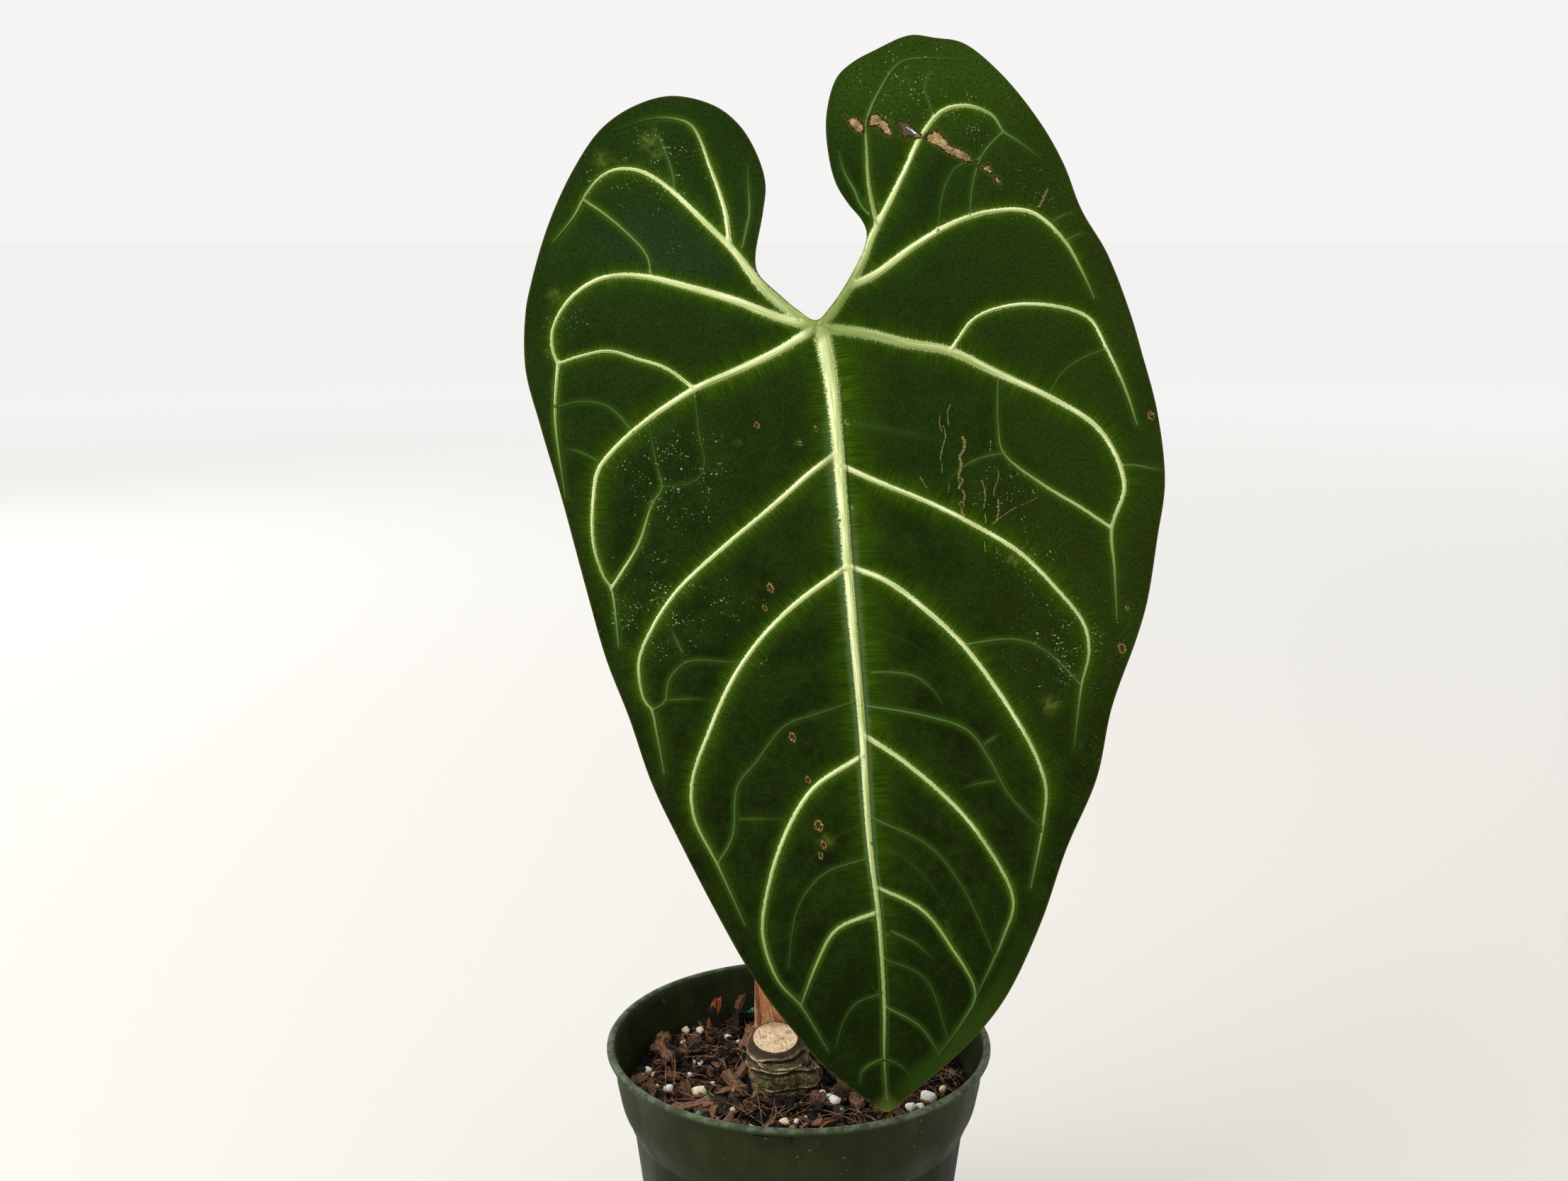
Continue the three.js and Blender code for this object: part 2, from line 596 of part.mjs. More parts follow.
// Delaunay triangulation, adding one point after another
function triangulate(points) {
  const far = 5000;
  const all = [...points, { x: -far, y: -far }, { x: far, y: -far }, { x: 0, y: far }];
  const circled = (corners) => {
    const [a, b, c] = corners.map((index) => all[index]);
    const bx = b.x - a.x;
    const by = b.y - a.y;
    const cx = c.x - a.x;
    const cy = c.y - a.y;
    const twice = 2 * (bx * cy - by * cx);
    const x = (cy * (bx * bx + by * by) - by * (cx * cx + cy * cy)) / twice;
    const y = (bx * (cx * cx + cy * cy) - cx * (bx * bx + by * by)) / twice;
    return { corners, x: a.x + x, y: a.y + y, reach: Math.hypot(x, y) };
  };
  let triangles = [circled([points.length, points.length + 1, points.length + 2])];
  points.forEach((point, index) => {
    const edges = new Map();
    triangles = triangles.filter((triangle) => {
      if (Math.hypot(point.x - triangle.x, point.y - triangle.y) >= triangle.reach) return true;
      const [a, b, c] = triangle.corners;
      for (const [from, to] of [[a, b], [b, c], [c, a]]) {
        if (!edges.delete(`${to} ${from}`)) edges.set(`${from} ${to}`, [from, to]);
      }
      return false;
    });
    for (const [from, to] of edges.values()) triangles.push(circled([from, to, index]));
  });
  return triangles.map(({ corners }) => corners).filter((corners) => Math.max(...corners) < points.length);
}

// The blade's points: rim, vein lines with a row on both sides of each rib, and a lattice in the panels
function bladePoints() {
  const points = rim.map((point) => ({ x: point.x, y: point.y, rib: 0 }));
  const addClear = (x, y, rib, fromRim, fromOthers) => {
    if (!isInside(rimFine, x, y) || nearest(rimFine, x, y).distance < fromRim) return;
    if (points.some((point) => Math.hypot(point.x - x, point.y - y) < fromOthers)) return;
    points.push({ x, y, rib });
  };
  for (const { path, rib = [0, 0] } of allVeins) {
    samplePath(path, meshStep).forEach((point, index, row) => {
      const along = index / (row.length - 1);
      addClear(point.x, point.y, rib[0] + (rib[1] - rib[0]) * along, 2.5, 3);
    });
  }
  for (const { path, width, rib } of [midrib, ...mainVeins]) {
    samplePath(path, meshStep).forEach((point, index, row) => {
      const along = index / (row.length - 1);
      if (along > 0.75) return;
      const ahead = row[Math.min(index + 1, row.length - 1)];
      const behind = row[Math.max(index - 1, 0)];
      const length = Math.hypot(ahead.x - behind.x, ahead.y - behind.y);
      const out = 0.5 * (width[0] + (width[1] - width[0]) * along) + 0.5 * rib[0];
      for (const side of [-out, out]) {
        const x = point.x - (side * (ahead.y - behind.y)) / length;
        const y = point.y + (side * (ahead.x - behind.x)) / length;
        addClear(x, y, 0, 2.5, 1.4);
      }
    });
  }
  const spacing = 13;
  for (let row = 0; row * spacing * 0.87 < 430; row++) {
    for (let column = 0; column * spacing < 270; column++) {
      const u = -120 + spacing * (column + (row % 2) / 2);
      addClear(u, -308 + spacing * 0.87 * row, 0, 0.55 * spacing, 0.55 * spacing);
    }
  }
  return points;
}

const blade = bladePoints();
const bladeTriangles = triangulate(blade).filter(([a, b, c]) => {
  const u = (blade[a].x + blade[b].x + blade[c].x) / 3;
  const v = (blade[a].y + blade[b].y + blade[c].y) / 3;
  return isInside(rim, u, v);
});
const bladeHeights = blade.map(({ x, y }) => relief(x, y));

function makeBlade() {
  const front = blade.map(({ x, y }, i) => leafPoint(x, y, bladeHeights[i]));
  const back = blade.map(({ x, y, rib }, i) =>
    leafPoint(x, y, bladeHeights[i] - bladeThickness - rib, bladeHeights[i]));
  return twoFaced(front, back, bladeTriangles);
}

// Height of the faceted face at a point, from the triangle that holds it
function faceHeight(u, v) {
  for (const corners of bladeTriangles) {
    const [a, b, c] = corners.map((index) => blade[index]);
    const twice = (b.x - a.x) * (c.y - a.y) - (b.y - a.y) * (c.x - a.x);
    const beta = ((u - a.x) * (c.y - a.y) - (v - a.y) * (c.x - a.x)) / twice;
    const gamma = ((b.x - a.x) * (v - a.y) - (b.y - a.y) * (u - a.x)) / twice;
    if (beta > -1e-6 && gamma > -1e-6 && beta + gamma < 1 + 1e-6) {
      const [high, higher, highest] = corners.map((index) => bladeHeights[index]);
      return high + beta * (higher - high) + gamma * (highest - high);
    }
  }
  return relief(u, v);
}

// Veins: each is a low ridge that follows the faceted face, and all are joined in one net
function makeVein({ path, width }) {
  const row = samplePath(path, meshStep);
  const rings = row.map((point, index) => {
    const along = index / (row.length - 1);
    const ahead = row[Math.min(index + 1, row.length - 1)];
    const behind = row[Math.max(index - 1, 0)];
    const length = Math.hypot(ahead.x - behind.x, ahead.y - behind.y);
    const acrossU = (ahead.y - behind.y) / length;
    const acrossV = -(ahead.x - behind.x) / length;
    const half = 0.5 * (width[0] + (width[1] - width[0]) * along);
    const crest = 0.5 + 0.45 * half;
    const footHeight = Math.max(...[-half, 0, half].map((off) =>
      faceHeight(point.x + off * acrossU, point.y + off * acrossV))) + 2 * clearance;
    const section = width[0] > 2
      ? [[-half, 0], [-0.55 * half, crest], [0.55 * half, crest], [half, 0]]
      : [[-half, 0], [0, crest], [half, 0]];
    return section.map(([off, up]) =>
      leafPoint(point.x + off * acrossU, point.y + off * acrossV, footHeight + up, footHeight));
  });
  return solidOf(loft(rings));
}

function makeVeins() {
  return join(allVeins.map(makeVein));
}

// Assembly

const finishes = {
  pot: { color: 0x3a4c3e, roughness: 0.62, metalness: 0 },
  potting_mix: { color: 0x2c1d17, roughness: 0.95, metalness: 0 },
  stem: { color: 0x6f6440, roughness: 0.85, metalness: 0 },
  roots: { color: 0xcbb994, roughness: 0.8, metalness: 0 },
  cataphyll: { color: 0xc47f4d, roughness: 0.7, metalness: 0 },
  petiole: { color: 0x7d8f45, roughness: 0.6, metalness: 0 },
  leaf_blade: { color: 0x2c4d1c, roughness: 0.75, metalness: 0 },
  leaf_veins: { color: 0xd3dfa4, roughness: 0.6, metalness: 0 },
};

function makeNode(name, geometry) {
  const mesh = new THREE.Mesh(geometry, new THREE.MeshStandardMaterial(finishes[name]));
  mesh.name = name;
  return mesh;
}

const plant = new THREE.Group();
plant.add(
  makeNode("pot", makePot()),
  makeNode("potting_mix", geometryOf(makePottingMix())),
  makeNode("stem", geometryOf(makeStem())),
  makeNode("roots", geometryOf(makeRoots())),
  makeNode("cataphyll", makeCataphyll()),
  makeNode("petiole", geometryOf(makePetiole())),
  makeNode("leaf_blade", makeBlade()),
  makeNode("leaf_veins", geometryOf(makeVeins())),
);

export default plant;
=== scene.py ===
"""The looks of a potted velvet-leaved aroid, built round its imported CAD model.

Lengths are in metres, and in millimetres where a name or a comment says so. The leaf is drawn in its own
plane: u runs to the right, v up along the blade and w out of its face, in millimetres from the junction.
"""

from __future__ import annotations

import logging
import math
from contextlib import contextmanager
from dataclasses import dataclass, fields
from enum import Enum
from typing import Iterator, Sequence

import bpy
import numpy as np
from mathutils import Euler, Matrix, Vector, noise
from mathutils.geometry import delaunay_2d_cdt

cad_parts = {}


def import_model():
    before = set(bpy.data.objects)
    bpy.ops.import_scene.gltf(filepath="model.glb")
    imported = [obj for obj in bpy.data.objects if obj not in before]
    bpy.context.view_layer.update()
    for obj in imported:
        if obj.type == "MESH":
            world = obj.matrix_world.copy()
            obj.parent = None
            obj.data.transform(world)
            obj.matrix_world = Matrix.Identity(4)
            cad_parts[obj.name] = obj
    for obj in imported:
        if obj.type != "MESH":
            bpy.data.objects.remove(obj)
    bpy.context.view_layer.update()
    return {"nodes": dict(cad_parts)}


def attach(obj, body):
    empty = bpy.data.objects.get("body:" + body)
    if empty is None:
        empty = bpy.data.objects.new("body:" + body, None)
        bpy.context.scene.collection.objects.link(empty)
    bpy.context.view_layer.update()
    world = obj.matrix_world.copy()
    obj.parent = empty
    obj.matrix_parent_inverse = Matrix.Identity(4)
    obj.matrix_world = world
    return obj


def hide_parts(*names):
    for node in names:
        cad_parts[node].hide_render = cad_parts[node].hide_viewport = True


log = logging.getLogger("potted_plant")

MM = 0.001
BODY = "root"

Colour = tuple[float, float, float, float]
Point = tuple[float, float]
Place = tuple[float, float, float]


def rgb(red: int, green: int, blue: int) -> Colour:
    """Turns screen values into the linear colour that nodes take.

    Args:
        red: Red from 0 to 255.
        green: Green from 0 to 255.
        blue: Blue from 0 to 255.

    Returns:
        The linear colour, with full alpha.
    """
    shares = (value / 255 for value in (red, green, blue))
    return (*(share / 12.92 if share <= 0.04045 else ((share + 0.055) / 1.055) ** 2.4 for share in shares), 1.0)


# ---------------------------------------------------------------- modelling helpers


def deselect_all() -> None:
    """Leaves nothing selected, the loaded CAD nodes included."""
    for chosen in bpy.context.selected_objects:
        chosen.select_set(False)


def activate(piece: bpy.types.Object) -> None:
    """Makes a piece the only selected object and the active one.

    Args:
        piece: The object that the next operator works on.
    """
    deselect_all()
    piece.select_set(True)
    bpy.context.view_layer.objects.active = piece


@contextmanager
def edit_mode(piece: bpy.types.Object) -> Iterator[None]:
    """Opens a piece in edit mode and closes it again.

    Args:
        piece: The mesh object to edit.

    Returns:
        Nothing to use: the piece is in edit mode until the block ends.
    """
    activate(piece)
    bpy.ops.object.mode_set(mode="EDIT")
    try:
        yield
    finally:
        bpy.ops.object.mode_set(mode="OBJECT")


def named(name: str) -> bpy.types.Object:
    """Names the object that an operator has just added, and its mesh.

    Args:
        name: The new name.

    Returns:
        The named object.
    """
    piece = bpy.context.active_object
    piece.name = name
    piece.data.name = name
    return piece


def apply_place(piece: bpy.types.Object) -> None:
    """Moves an object's place, turn and scale into its mesh."""
    activate(piece)
    bpy.ops.object.transform_apply(location=True, rotation=True, scale=True)


def apply_modifier(piece: bpy.types.Object, kind: str, **settings: object) -> None:
    """Adds a modifier, sets it and applies it.

    Args:
        piece: The mesh object.
        kind: The modifier's type, such as BEVEL.
        **settings: The modifier's own properties.
    """
    activate(piece)
    bpy.ops.object.modifier_add(type=kind)
    modifier = piece.modifiers[-1]
    for key, value in settings.items():
        setattr(modifier, key, value)
    bpy.ops.object.modifier_apply(modifier=modifier.name)


def smooth(piece: bpy.types.Object, degrees: float = 40.0) -> None:
    """Shades a piece smooth, with edges kept sharp past an angle.

    Args:
        piece: The mesh object.
        degrees: The angle past which an edge stays sharp.
    """
    activate(piece)
    bpy.ops.object.shade_smooth_by_angle(angle=math.radians(degrees))


def mesh_piece(name: str, places: np.ndarray, faces: Sequence[Sequence[int]]) -> bpy.types.Object:
    """Makes an object from points and faces that no operator would give.

    Args:
        name: The piece's name.
        places: Points in metres, one row each.
        faces: Corner numbers of each face, anticlockwise seen from outside.

    Returns:
        The new object.
    """
    mesh = bpy.data.meshes.new(name)
    mesh.from_pydata([tuple(place) for place in places.tolist()], [], faces)
    mesh.update()
    piece = bpy.data.objects.new(name, mesh)
    bpy.context.scene.collection.objects.link(piece)
    return piece


def corners_of(piece: bpy.types.Object) -> np.ndarray:
    """Reads a mesh's vertex places.

    Args:
        piece: The mesh object.

    Returns:
        The places in metres, one row each.
    """
    flat = np.empty(len(piece.data.vertices) * 3)
    piece.data.vertices.foreach_get("co", flat)
    return flat.reshape(-1, 3)


def put_corners(piece: bpy.types.Object, places: np.ndarray) -> None:
    """Writes a mesh's vertex places back."""
    piece.data.vertices.foreach_set("co", places.astype(float).ravel())
    piece.data.update()


def paint(piece: bpy.types.Object, name: str, values: np.ndarray) -> None:
    """Stores numbers or vectors on a mesh's vertices for its material to read.

    Args:
        piece: The mesh object.
        name: The attribute's name.
        values: One number or one row of three for each vertex.
    """
    vector = values.ndim == 2
    layer = piece.data.attributes.new(name, "FLOAT_VECTOR" if vector else "FLOAT", "POINT")
    layer.data.foreach_set("vector" if vector else "value", values.astype(np.float32).ravel())


def turned_body(name: str, profile: Sequence[Point], sides: int) -> bpy.types.Object:
    """Raises a round closed body from a filled circle, ring after ring.

    Args:
        name: The piece's name.
        profile: Radius and height of each ring in millimetres, from the first ring to the last.
        sides: Corners of each ring.

    Returns:
        The new object, closed by flat faces at both ends.
    """
    deselect_all()
    radius, height = profile[0]
    bpy.ops.mesh.primitive_circle_add(
        vertices=sides, radius=radius * MM, fill_type="NGON", location=(0, 0, height * MM))
    piece = named(name)
    apply_place(piece)
    with edit_mode(piece):
        bpy.ops.mesh.select_all(action="SELECT")
        for next_radius, next_height in profile[1:]:
            bpy.ops.mesh.extrude_region_move(
                TRANSFORM_OT_translate={"value": (0, 0, (next_height - height) * MM)})
            grow = next_radius / radius
            bpy.ops.transform.resize(value=(grow, grow, 1), center_override=(0, 0, next_height * MM))
            radius, height = next_radius, next_height
        bpy.ops.mesh.select_all(action="SELECT")
        bpy.ops.mesh.normals_make_consistent(inside=False)
    return piece


def tubes(name: str, threads: Sequence[tuple[Sequence[Place], Sequence[float]]], radius: float, kind: str,
          rounding: int, merge: float) -> bpy.types.Object:
    """Makes round threads in one mesh, each with closed ends.

    Args:
        name: The piece's name.
        threads: For each thread its places in millimetres, and its radius at each as a share of radius.
        radius: The plain radius of a thread, in millimetres.
        kind: POLY for straight runs between the places, or NURBS for one soft bend.
        rounding: How finely the round of a thread is cut.
        merge: The gap, in metres, under which points are joined.

    Returns:
        The new object.
    """
    curve = bpy.data.curves.new(name, "CURVE")
    curve.dimensions = "3D"
    curve.bevel_depth = radius * MM
    curve.bevel_resolution = rounding
    curve.resolution_u = 4
    curve.use_fill_caps = True
    for places, shares in threads:
        spline = curve.splines.new(kind)
        spline.points.add(len(places) - 1)
        for knot, place, share in zip(spline.points, places, shares):
            knot.co = (*(value * MM for value in place), 1)
            knot.radius = share
        if kind == "NURBS":
            spline.use_endpoint_u = True
            spline.order_u = 4
    holder = bpy.data.objects.new(name, curve)
    bpy.context.scene.collection.objects.link(holder)
    activate(holder)
    bpy.ops.object.convert(target="MESH")
    piece = named(name)
    with edit_mode(piece):
        bpy.ops.mesh.select_all(action="SELECT")
        bpy.ops.mesh.remove_doubles(threshold=merge)
        bpy.ops.mesh.normals_make_consistent(inside=False)
    return piece


def push_out(piece: bpy.types.Object, places: np.ndarray, push: np.ndarray) -> None:
    """Moves a mesh's corners along their normals.

    Args:
        piece: The mesh object.
        places: The corners' places in millimetres.
        push: How far each one moves, in millimetres.
    """
    normals = np.array([vertex.normal[:] for vertex in piece.data.vertices])
    put_corners(piece, (places + normals * push[:, None]) * MM)


def value_noise(places: np.ndarray, size: float, seed: float) -> np.ndarray:
    """Reads smooth noise from -1 to 1 at each place.

    Args:
        places: Places, one row of three each.
        size: The length of one lump, in the places' own unit.
        seed: Shifts the pattern.

    Returns:
        One number for each place.
    """
    shift = Vector((seed, 2.7 * seed, -1.3 * seed))
    return np.array([noise.noise(Vector(place) / size + shift) for place in places.tolist()])


def smooth_line(points: Sequence[Point], step: float, closed: bool = False) -> np.ndarray:
    """Runs a centripetal curve through points and samples it.

    Args:
        points: The points that the curve passes.
        step: Rough spacing of the samples along it.
        closed: Whether it returns to its start.

    Returns:
        The samples, one row each, without the start again where it is closed.
    """
    given = np.asarray(points, float)
    if closed:
        reached = np.vstack([given[-1], given, given[:2]])
    else:
        reached = np.vstack([2 * given[0] - given[1], given, 2 * given[-1] - given[-2]])
    samples = []
    for p0, p1, p2, p3 in zip(reached, reached[1:], reached[2:], reached[3:]):
        t0, t1, t2 = (math.sqrt(np.linalg.norm(b - a)) for a, b in ((p0, p1), (p1, p2), (p2, p3)))
        leave = ((p1 - p0) / t0 - (p2 - p0) / (t0 + t1) + (p2 - p1) / t1) * t1
        arrive = ((p2 - p1) / t1 - (p3 - p1) / (t1 + t2) + (p3 - p2) / t2) * t1
        parts = max(2, int(np.linalg.norm(p2 - p1) / (0.25 * step)))
        t = (np.arange(parts) / parts)[:, None]
        samples.append(p1 + leave * t + (3 * (p2 - p1) - 2 * leave - arrive) * t**2
                       + (leave + arrive - 2 * (p2 - p1)) * t**3)
    dense = np.vstack([*samples, given[:1] if closed else given[-1:]])
    lengths = np.concatenate([[0], np.cumsum(np.linalg.norm(np.diff(dense, axis=0), axis=1))])
    count = max(2, round(lengths[-1] / step))
    wanted = np.linspace(0, lengths[-1], count + 1)[: count if closed else count + 1]
    return np.column_stack([np.interp(wanted, lengths, dense[:, axis]) for axis in (0, 1)])


def inside_ring(ring: np.ndarray, places: np.ndarray) -> np.ndarray:
    """Tells which places lie inside a closed ring of points.

    Args:
        ring: Corners of the ring, one row each.
        places: The places to judge.

    Returns:
        True for each place that lies inside.
    """
    u, v = places[:, 0], places[:, 1]
    inside = np.zeros(len(places), bool)
    for (au, av), (bu, bv) in zip(ring, np.roll(ring, -1, axis=0)):
        if av == bv:
            continue
        crosses = (av > v) != (bv > v)
        inside ^= crosses & (u < au + (bu - au) * (v - av) / (bv - av))
    return inside


@dataclass
class Nearness:
    """How far many places lie from a line, and where on it the nearest point is."""

    distance: np.ndarray
    along: np.ndarray
    side: np.ndarray
    offset: np.ndarray


def near_line(line: np.ndarray, places: np.ndarray) -> Nearness:
    """Measures places against a line of straight pieces.

    Args:
        line: Points of the line, one row each.
        places: The places to measure.

    Returns:
        Distance, length along the line, -1 or 1 for its left or right side, and the way off the line.
    """
    start, span = line[:-1], np.diff(line, axis=0)
    length = np.maximum(np.linalg.norm(span, axis=1), 1e-9)
    begun = np.concatenate([[0], np.cumsum(length)[:-1]])
    result = Nearness(*(np.empty(len(places)) for _ in range(3)), np.empty((len(places), 2)))
    for first in range(0, len(places), 4000):
        part = slice(first, first + 4000)
        away = places[part, None, :] - start[None]
        share = np.clip((away * span).sum(2) / length**2, 0, 1)
        gap = away - share[..., None] * span
        squared = (gap**2).sum(2)
        best = squared.argmin(1)
        row = np.arange(len(best))
        result.distance[part] = np.sqrt(squared[row, best])
        result.along[part] = begun[best] + share[row, best] * length[best]
        result.offset[part] = gap[row, best]
        cross = span[best, 0] * away[row, best, 1] - span[best, 1] * away[row, best, 0]
        result.side[part] = np.where(cross > 0, -1, 1)
    return result


def spaced(share: np.ndarray, values: Sequence[float]) -> np.ndarray:
    """Reads between values that are spaced evenly from 0 to 1."""
    return np.interp(share, np.linspace(0, 1, len(values)), values)


def to_the_right(line: np.ndarray) -> np.ndarray:
    """Gives the unit vector to the right of a line at each of its points.

    Args:
        line: Points of the line, one row each.

    Returns:
        The vectors, one row each.
    """
    ahead = np.gradient(line, axis=0)
    across = np.column_stack([ahead[:, 1], -ahead[:, 0]])
    return across / np.linalg.norm(across, axis=1)[:, None]


# ---------------------------------------------------------------- node helpers


class Signal:
    """An output of a node. Reckoning with it adds the nodes for it."""

    def __init__(self, graph: Graph, socket: bpy.types.NodeSocket) -> None:
        """Keeps the graph and the output's socket."""
        self.graph, self.socket = graph, socket

    def __add__(self, other: Signal | float) -> Signal:
        """Adds another value."""
        return self.graph.math("ADD", self, other)

    def __sub__(self, other: Signal | float) -> Signal:
        """Takes another value away."""
        return self.graph.math("SUBTRACT", self, other)

    def __mul__(self, other: Signal | float) -> Signal:
        """Multiplies by another value."""
        return self.graph.math("MULTIPLY", self, other)

    def __truediv__(self, other: Signal | float) -> Signal:
        """Divides by another value."""
        return self.graph.math("DIVIDE", self, other)

    def __abs__(self) -> Signal:
        """Drops the sign."""
        return self.graph.math("ABSOLUTE", self)

    def ramp(self, low: float, high: float, start: float = 0, end: float = 1) -> Signal:
        """Maps the value smoothly between two limits.

        Args:
            low: Where the result is start. It may be over high.
            high: Where the result is end.
            start: The result at low and past it.
            end: The result at high and past it.

        Returns:
            The mapped value.
        """
        entries = dict(enumerate((self, low, high, start, end)))
        return self.graph.add("MapRange", 0, entries, interpolation_type="SMOOTHSTEP")

    def coat(self, share: Signal | float, *screen: int) -> Signal:
        """Lays a colour of screen values over this colour, as thickly as share says."""
        return self.graph.mix(share, self, rgb(*screen))

    def outputs(self) -> tuple[Signal, ...]:
        """Gives every output of the node that this one comes from."""
        return tuple(Signal(self.graph, socket) for socket in self.socket.node.outputs)

    def parts(self) -> tuple[Signal, ...]:
        """Splits a vector into x, y and z."""
        return self.graph.add("SeparateXYZ", 0, {0: self}).outputs()


class Graph:
    """Adds nodes to one material or group and links them."""

    def __init__(self, tree: bpy.types.NodeTree, effects: SharedEffects | None = None,
                 material: bpy.types.Material | None = None) -> None:
        """Keeps the tree that the nodes go into, the shared groups, and the material."""
        self.tree, self.effects, self.material = tree, effects, material

    def feed(self, socket: bpy.types.NodeSocket, value: Signal | float | Sequence[float]) -> None:
        """Links a socket to a signal, or sets its value.

        Args:
            socket: The input to feed.
            value: What it gets.
        """
        if isinstance(value, Signal):
            self.tree.links.new(value.socket, socket)
        else:
            socket.default_value = value

    def add(self, kind: str, output: int | str = 0, inputs: dict[int | str, object] | None = None,
            **settings: object) -> Signal:
        """Adds a node, sets its own properties and feeds its inputs.

        Args:
            kind: The node's type, such as Math.
            output: The number or name of the output that is wanted.
            inputs: Values or signals by the number or name of the input.
            **settings: Properties of the node.

        Returns:
            The output.
        """
        node = self.tree.nodes.new("ShaderNode" + kind)
        for key, value in settings.items():
            setattr(node, key, value)
        for key, value in (inputs or {}).items():
            self.feed(node.inputs[key], value)
        return Signal(self, node.outputs[output])

    def math(self, operation: str, *values: Signal | float) -> Signal:
        """Adds a Math node and returns its result."""
        return self.add("Math", 0, dict(enumerate(values)), operation=operation)

    def mix(self, share: object, first: object, second: object) -> Signal:
        """Mixes two colours or vectors and returns the result."""
        return self.add("Mix", 2, {0: share, 6: first, 7: second}, data_type="RGBA")

    def noise(self, vector: Signal, scale: Signal | float, detail: float = 3, rough: float = 0.55,
              output: str = "Fac") -> Signal:
        """Adds a noise texture and returns its value."""
        entries = {"Vector": vector, "Scale": scale, "Detail": detail, "Roughness": rough}
        return self.add("TexNoise", output, entries)

    def cells(self, vector: Signal, scale: Signal | float, feature: str = "F1") -> Signal:
        """Adds a Voronoi texture and returns its distance."""
        return self.add("TexVoronoi", "Distance", {"Vector": vector, "Scale": scale}, feature=feature)

    def stretch(self, vector: Signal, scale: Place) -> Signal:
        """Scales a vector along its axes."""
        return self.add("Mapping", 0, {"Vector": vector, "Scale": scale})

    def attribute(self, name: str, output: str = "Fac") -> Signal:
        """Reads an attribute of the mesh."""
        return self.add("Attribute", output, attribute_name=name)

    def object_place(self) -> Signal:
        """Reads Object coordinates."""
        return self.add("TexCoord", "Object")

    def mottle(self, vector: Signal, patch: float, dark: Colour, light: Colour) -> Signal:
        """Places the shared effect of two colours mixed in soft patches."""
        entries = {"Vector": vector, "Patch": patch, "Dark": dark, "Light": light}
        return self.add("Group", 0, entries, node_tree=self.effects.mottle)

    def flecks(self, vector: Signal, density: float, size: float, amount: float) -> Signal:
        """Places the shared effect of small round flecks."""
        entries = {"Vector": vector, "Density": density, "Size": size, "Amount": amount}
        return self.add("Group", 0, entries, node_tree=self.effects.flecks)


def shared_group(name: str, inputs: dict[str, str], outputs: dict[str, str],
                 effects: SharedEffects | None = None
                 ) -> tuple[Graph, dict[str, Signal], bpy.types.Node]:
    """Starts a node group that several materials use.

    Args:
        name: The group's name.
        inputs: Kinds of its inputs by name, such as Float.
        outputs: Kinds of its outputs by name.
        effects: The shared groups that it uses itself.

    Returns:
        A graph to fill the group with, its inputs by name, and its output node.
    """
    tree = bpy.data.node_groups.new(name, "ShaderNodeTree")
    for way, labels in (("INPUT", inputs), ("OUTPUT", outputs)):
        for label, kind in labels.items():
            tree.interface.new_socket(label, in_out=way, socket_type="NodeSocket" + kind)
    graph = Graph(tree, effects)
    entry = tree.nodes.new("NodeGroupInput")
    found = {label: Signal(graph, entry.outputs[label]) for label in inputs}
    return graph, found, tree.nodes.new("NodeGroupOutput")


class SharedEffects:
    """The node groups that more than one material uses, each built once."""

    def __init__(self) -> None:
        """Builds the groups."""
        self.mottle = self._mottle()
        self.flecks = self._flecks()

    @staticmethod
    def _mottle() -> bpy.types.NodeTree:
        """Mixes two colours in soft patches, with finer patches in them.

        Returns:
            The group.
        """
        graph, entry, leave = shared_group(
            "mottle", {"Vector": "Vector", "Patch": "Float", "Dark": "Color", "Light": "Color"},
            {"Colour": "Color"})
        broad = graph.noise(entry["Vector"], entry["Patch"], 4, 0.5)
        fine = graph.noise(entry["Vector"], entry["Patch"] * 4.3, 4, 0.5)
        mask = (broad * 0.62 + fine * 0.38).ramp(0.34, 0.66)
        graph.feed(leave.inputs["Colour"], graph.mix(mask, entry["Dark"], entry["Light"]))
        return graph.tree

    @staticmethod
    def _flecks() -> bpy.types.NodeTree:
        """Puts down small round flecks, thinned out by a soft noise.

        Returns:
            The group.
        """
        graph, entry, leave = shared_group(
            "flecks", {"Vector": "Vector", "Density": "Float", "Size": "Float", "Amount": "Float"},
            {"Mask": "Float"})
        dot = graph.math("LESS_THAN", graph.cells(entry["Vector"], entry["Density"]), entry["Size"])
        thin = graph.noise(entry["Vector"], entry["Density"] * 0.31, 2, 0.5)
        graph.feed(leave.inputs["Mask"], dot * (thin + entry["Amount"]).ramp(0.92, 1.04))
        return graph.tree


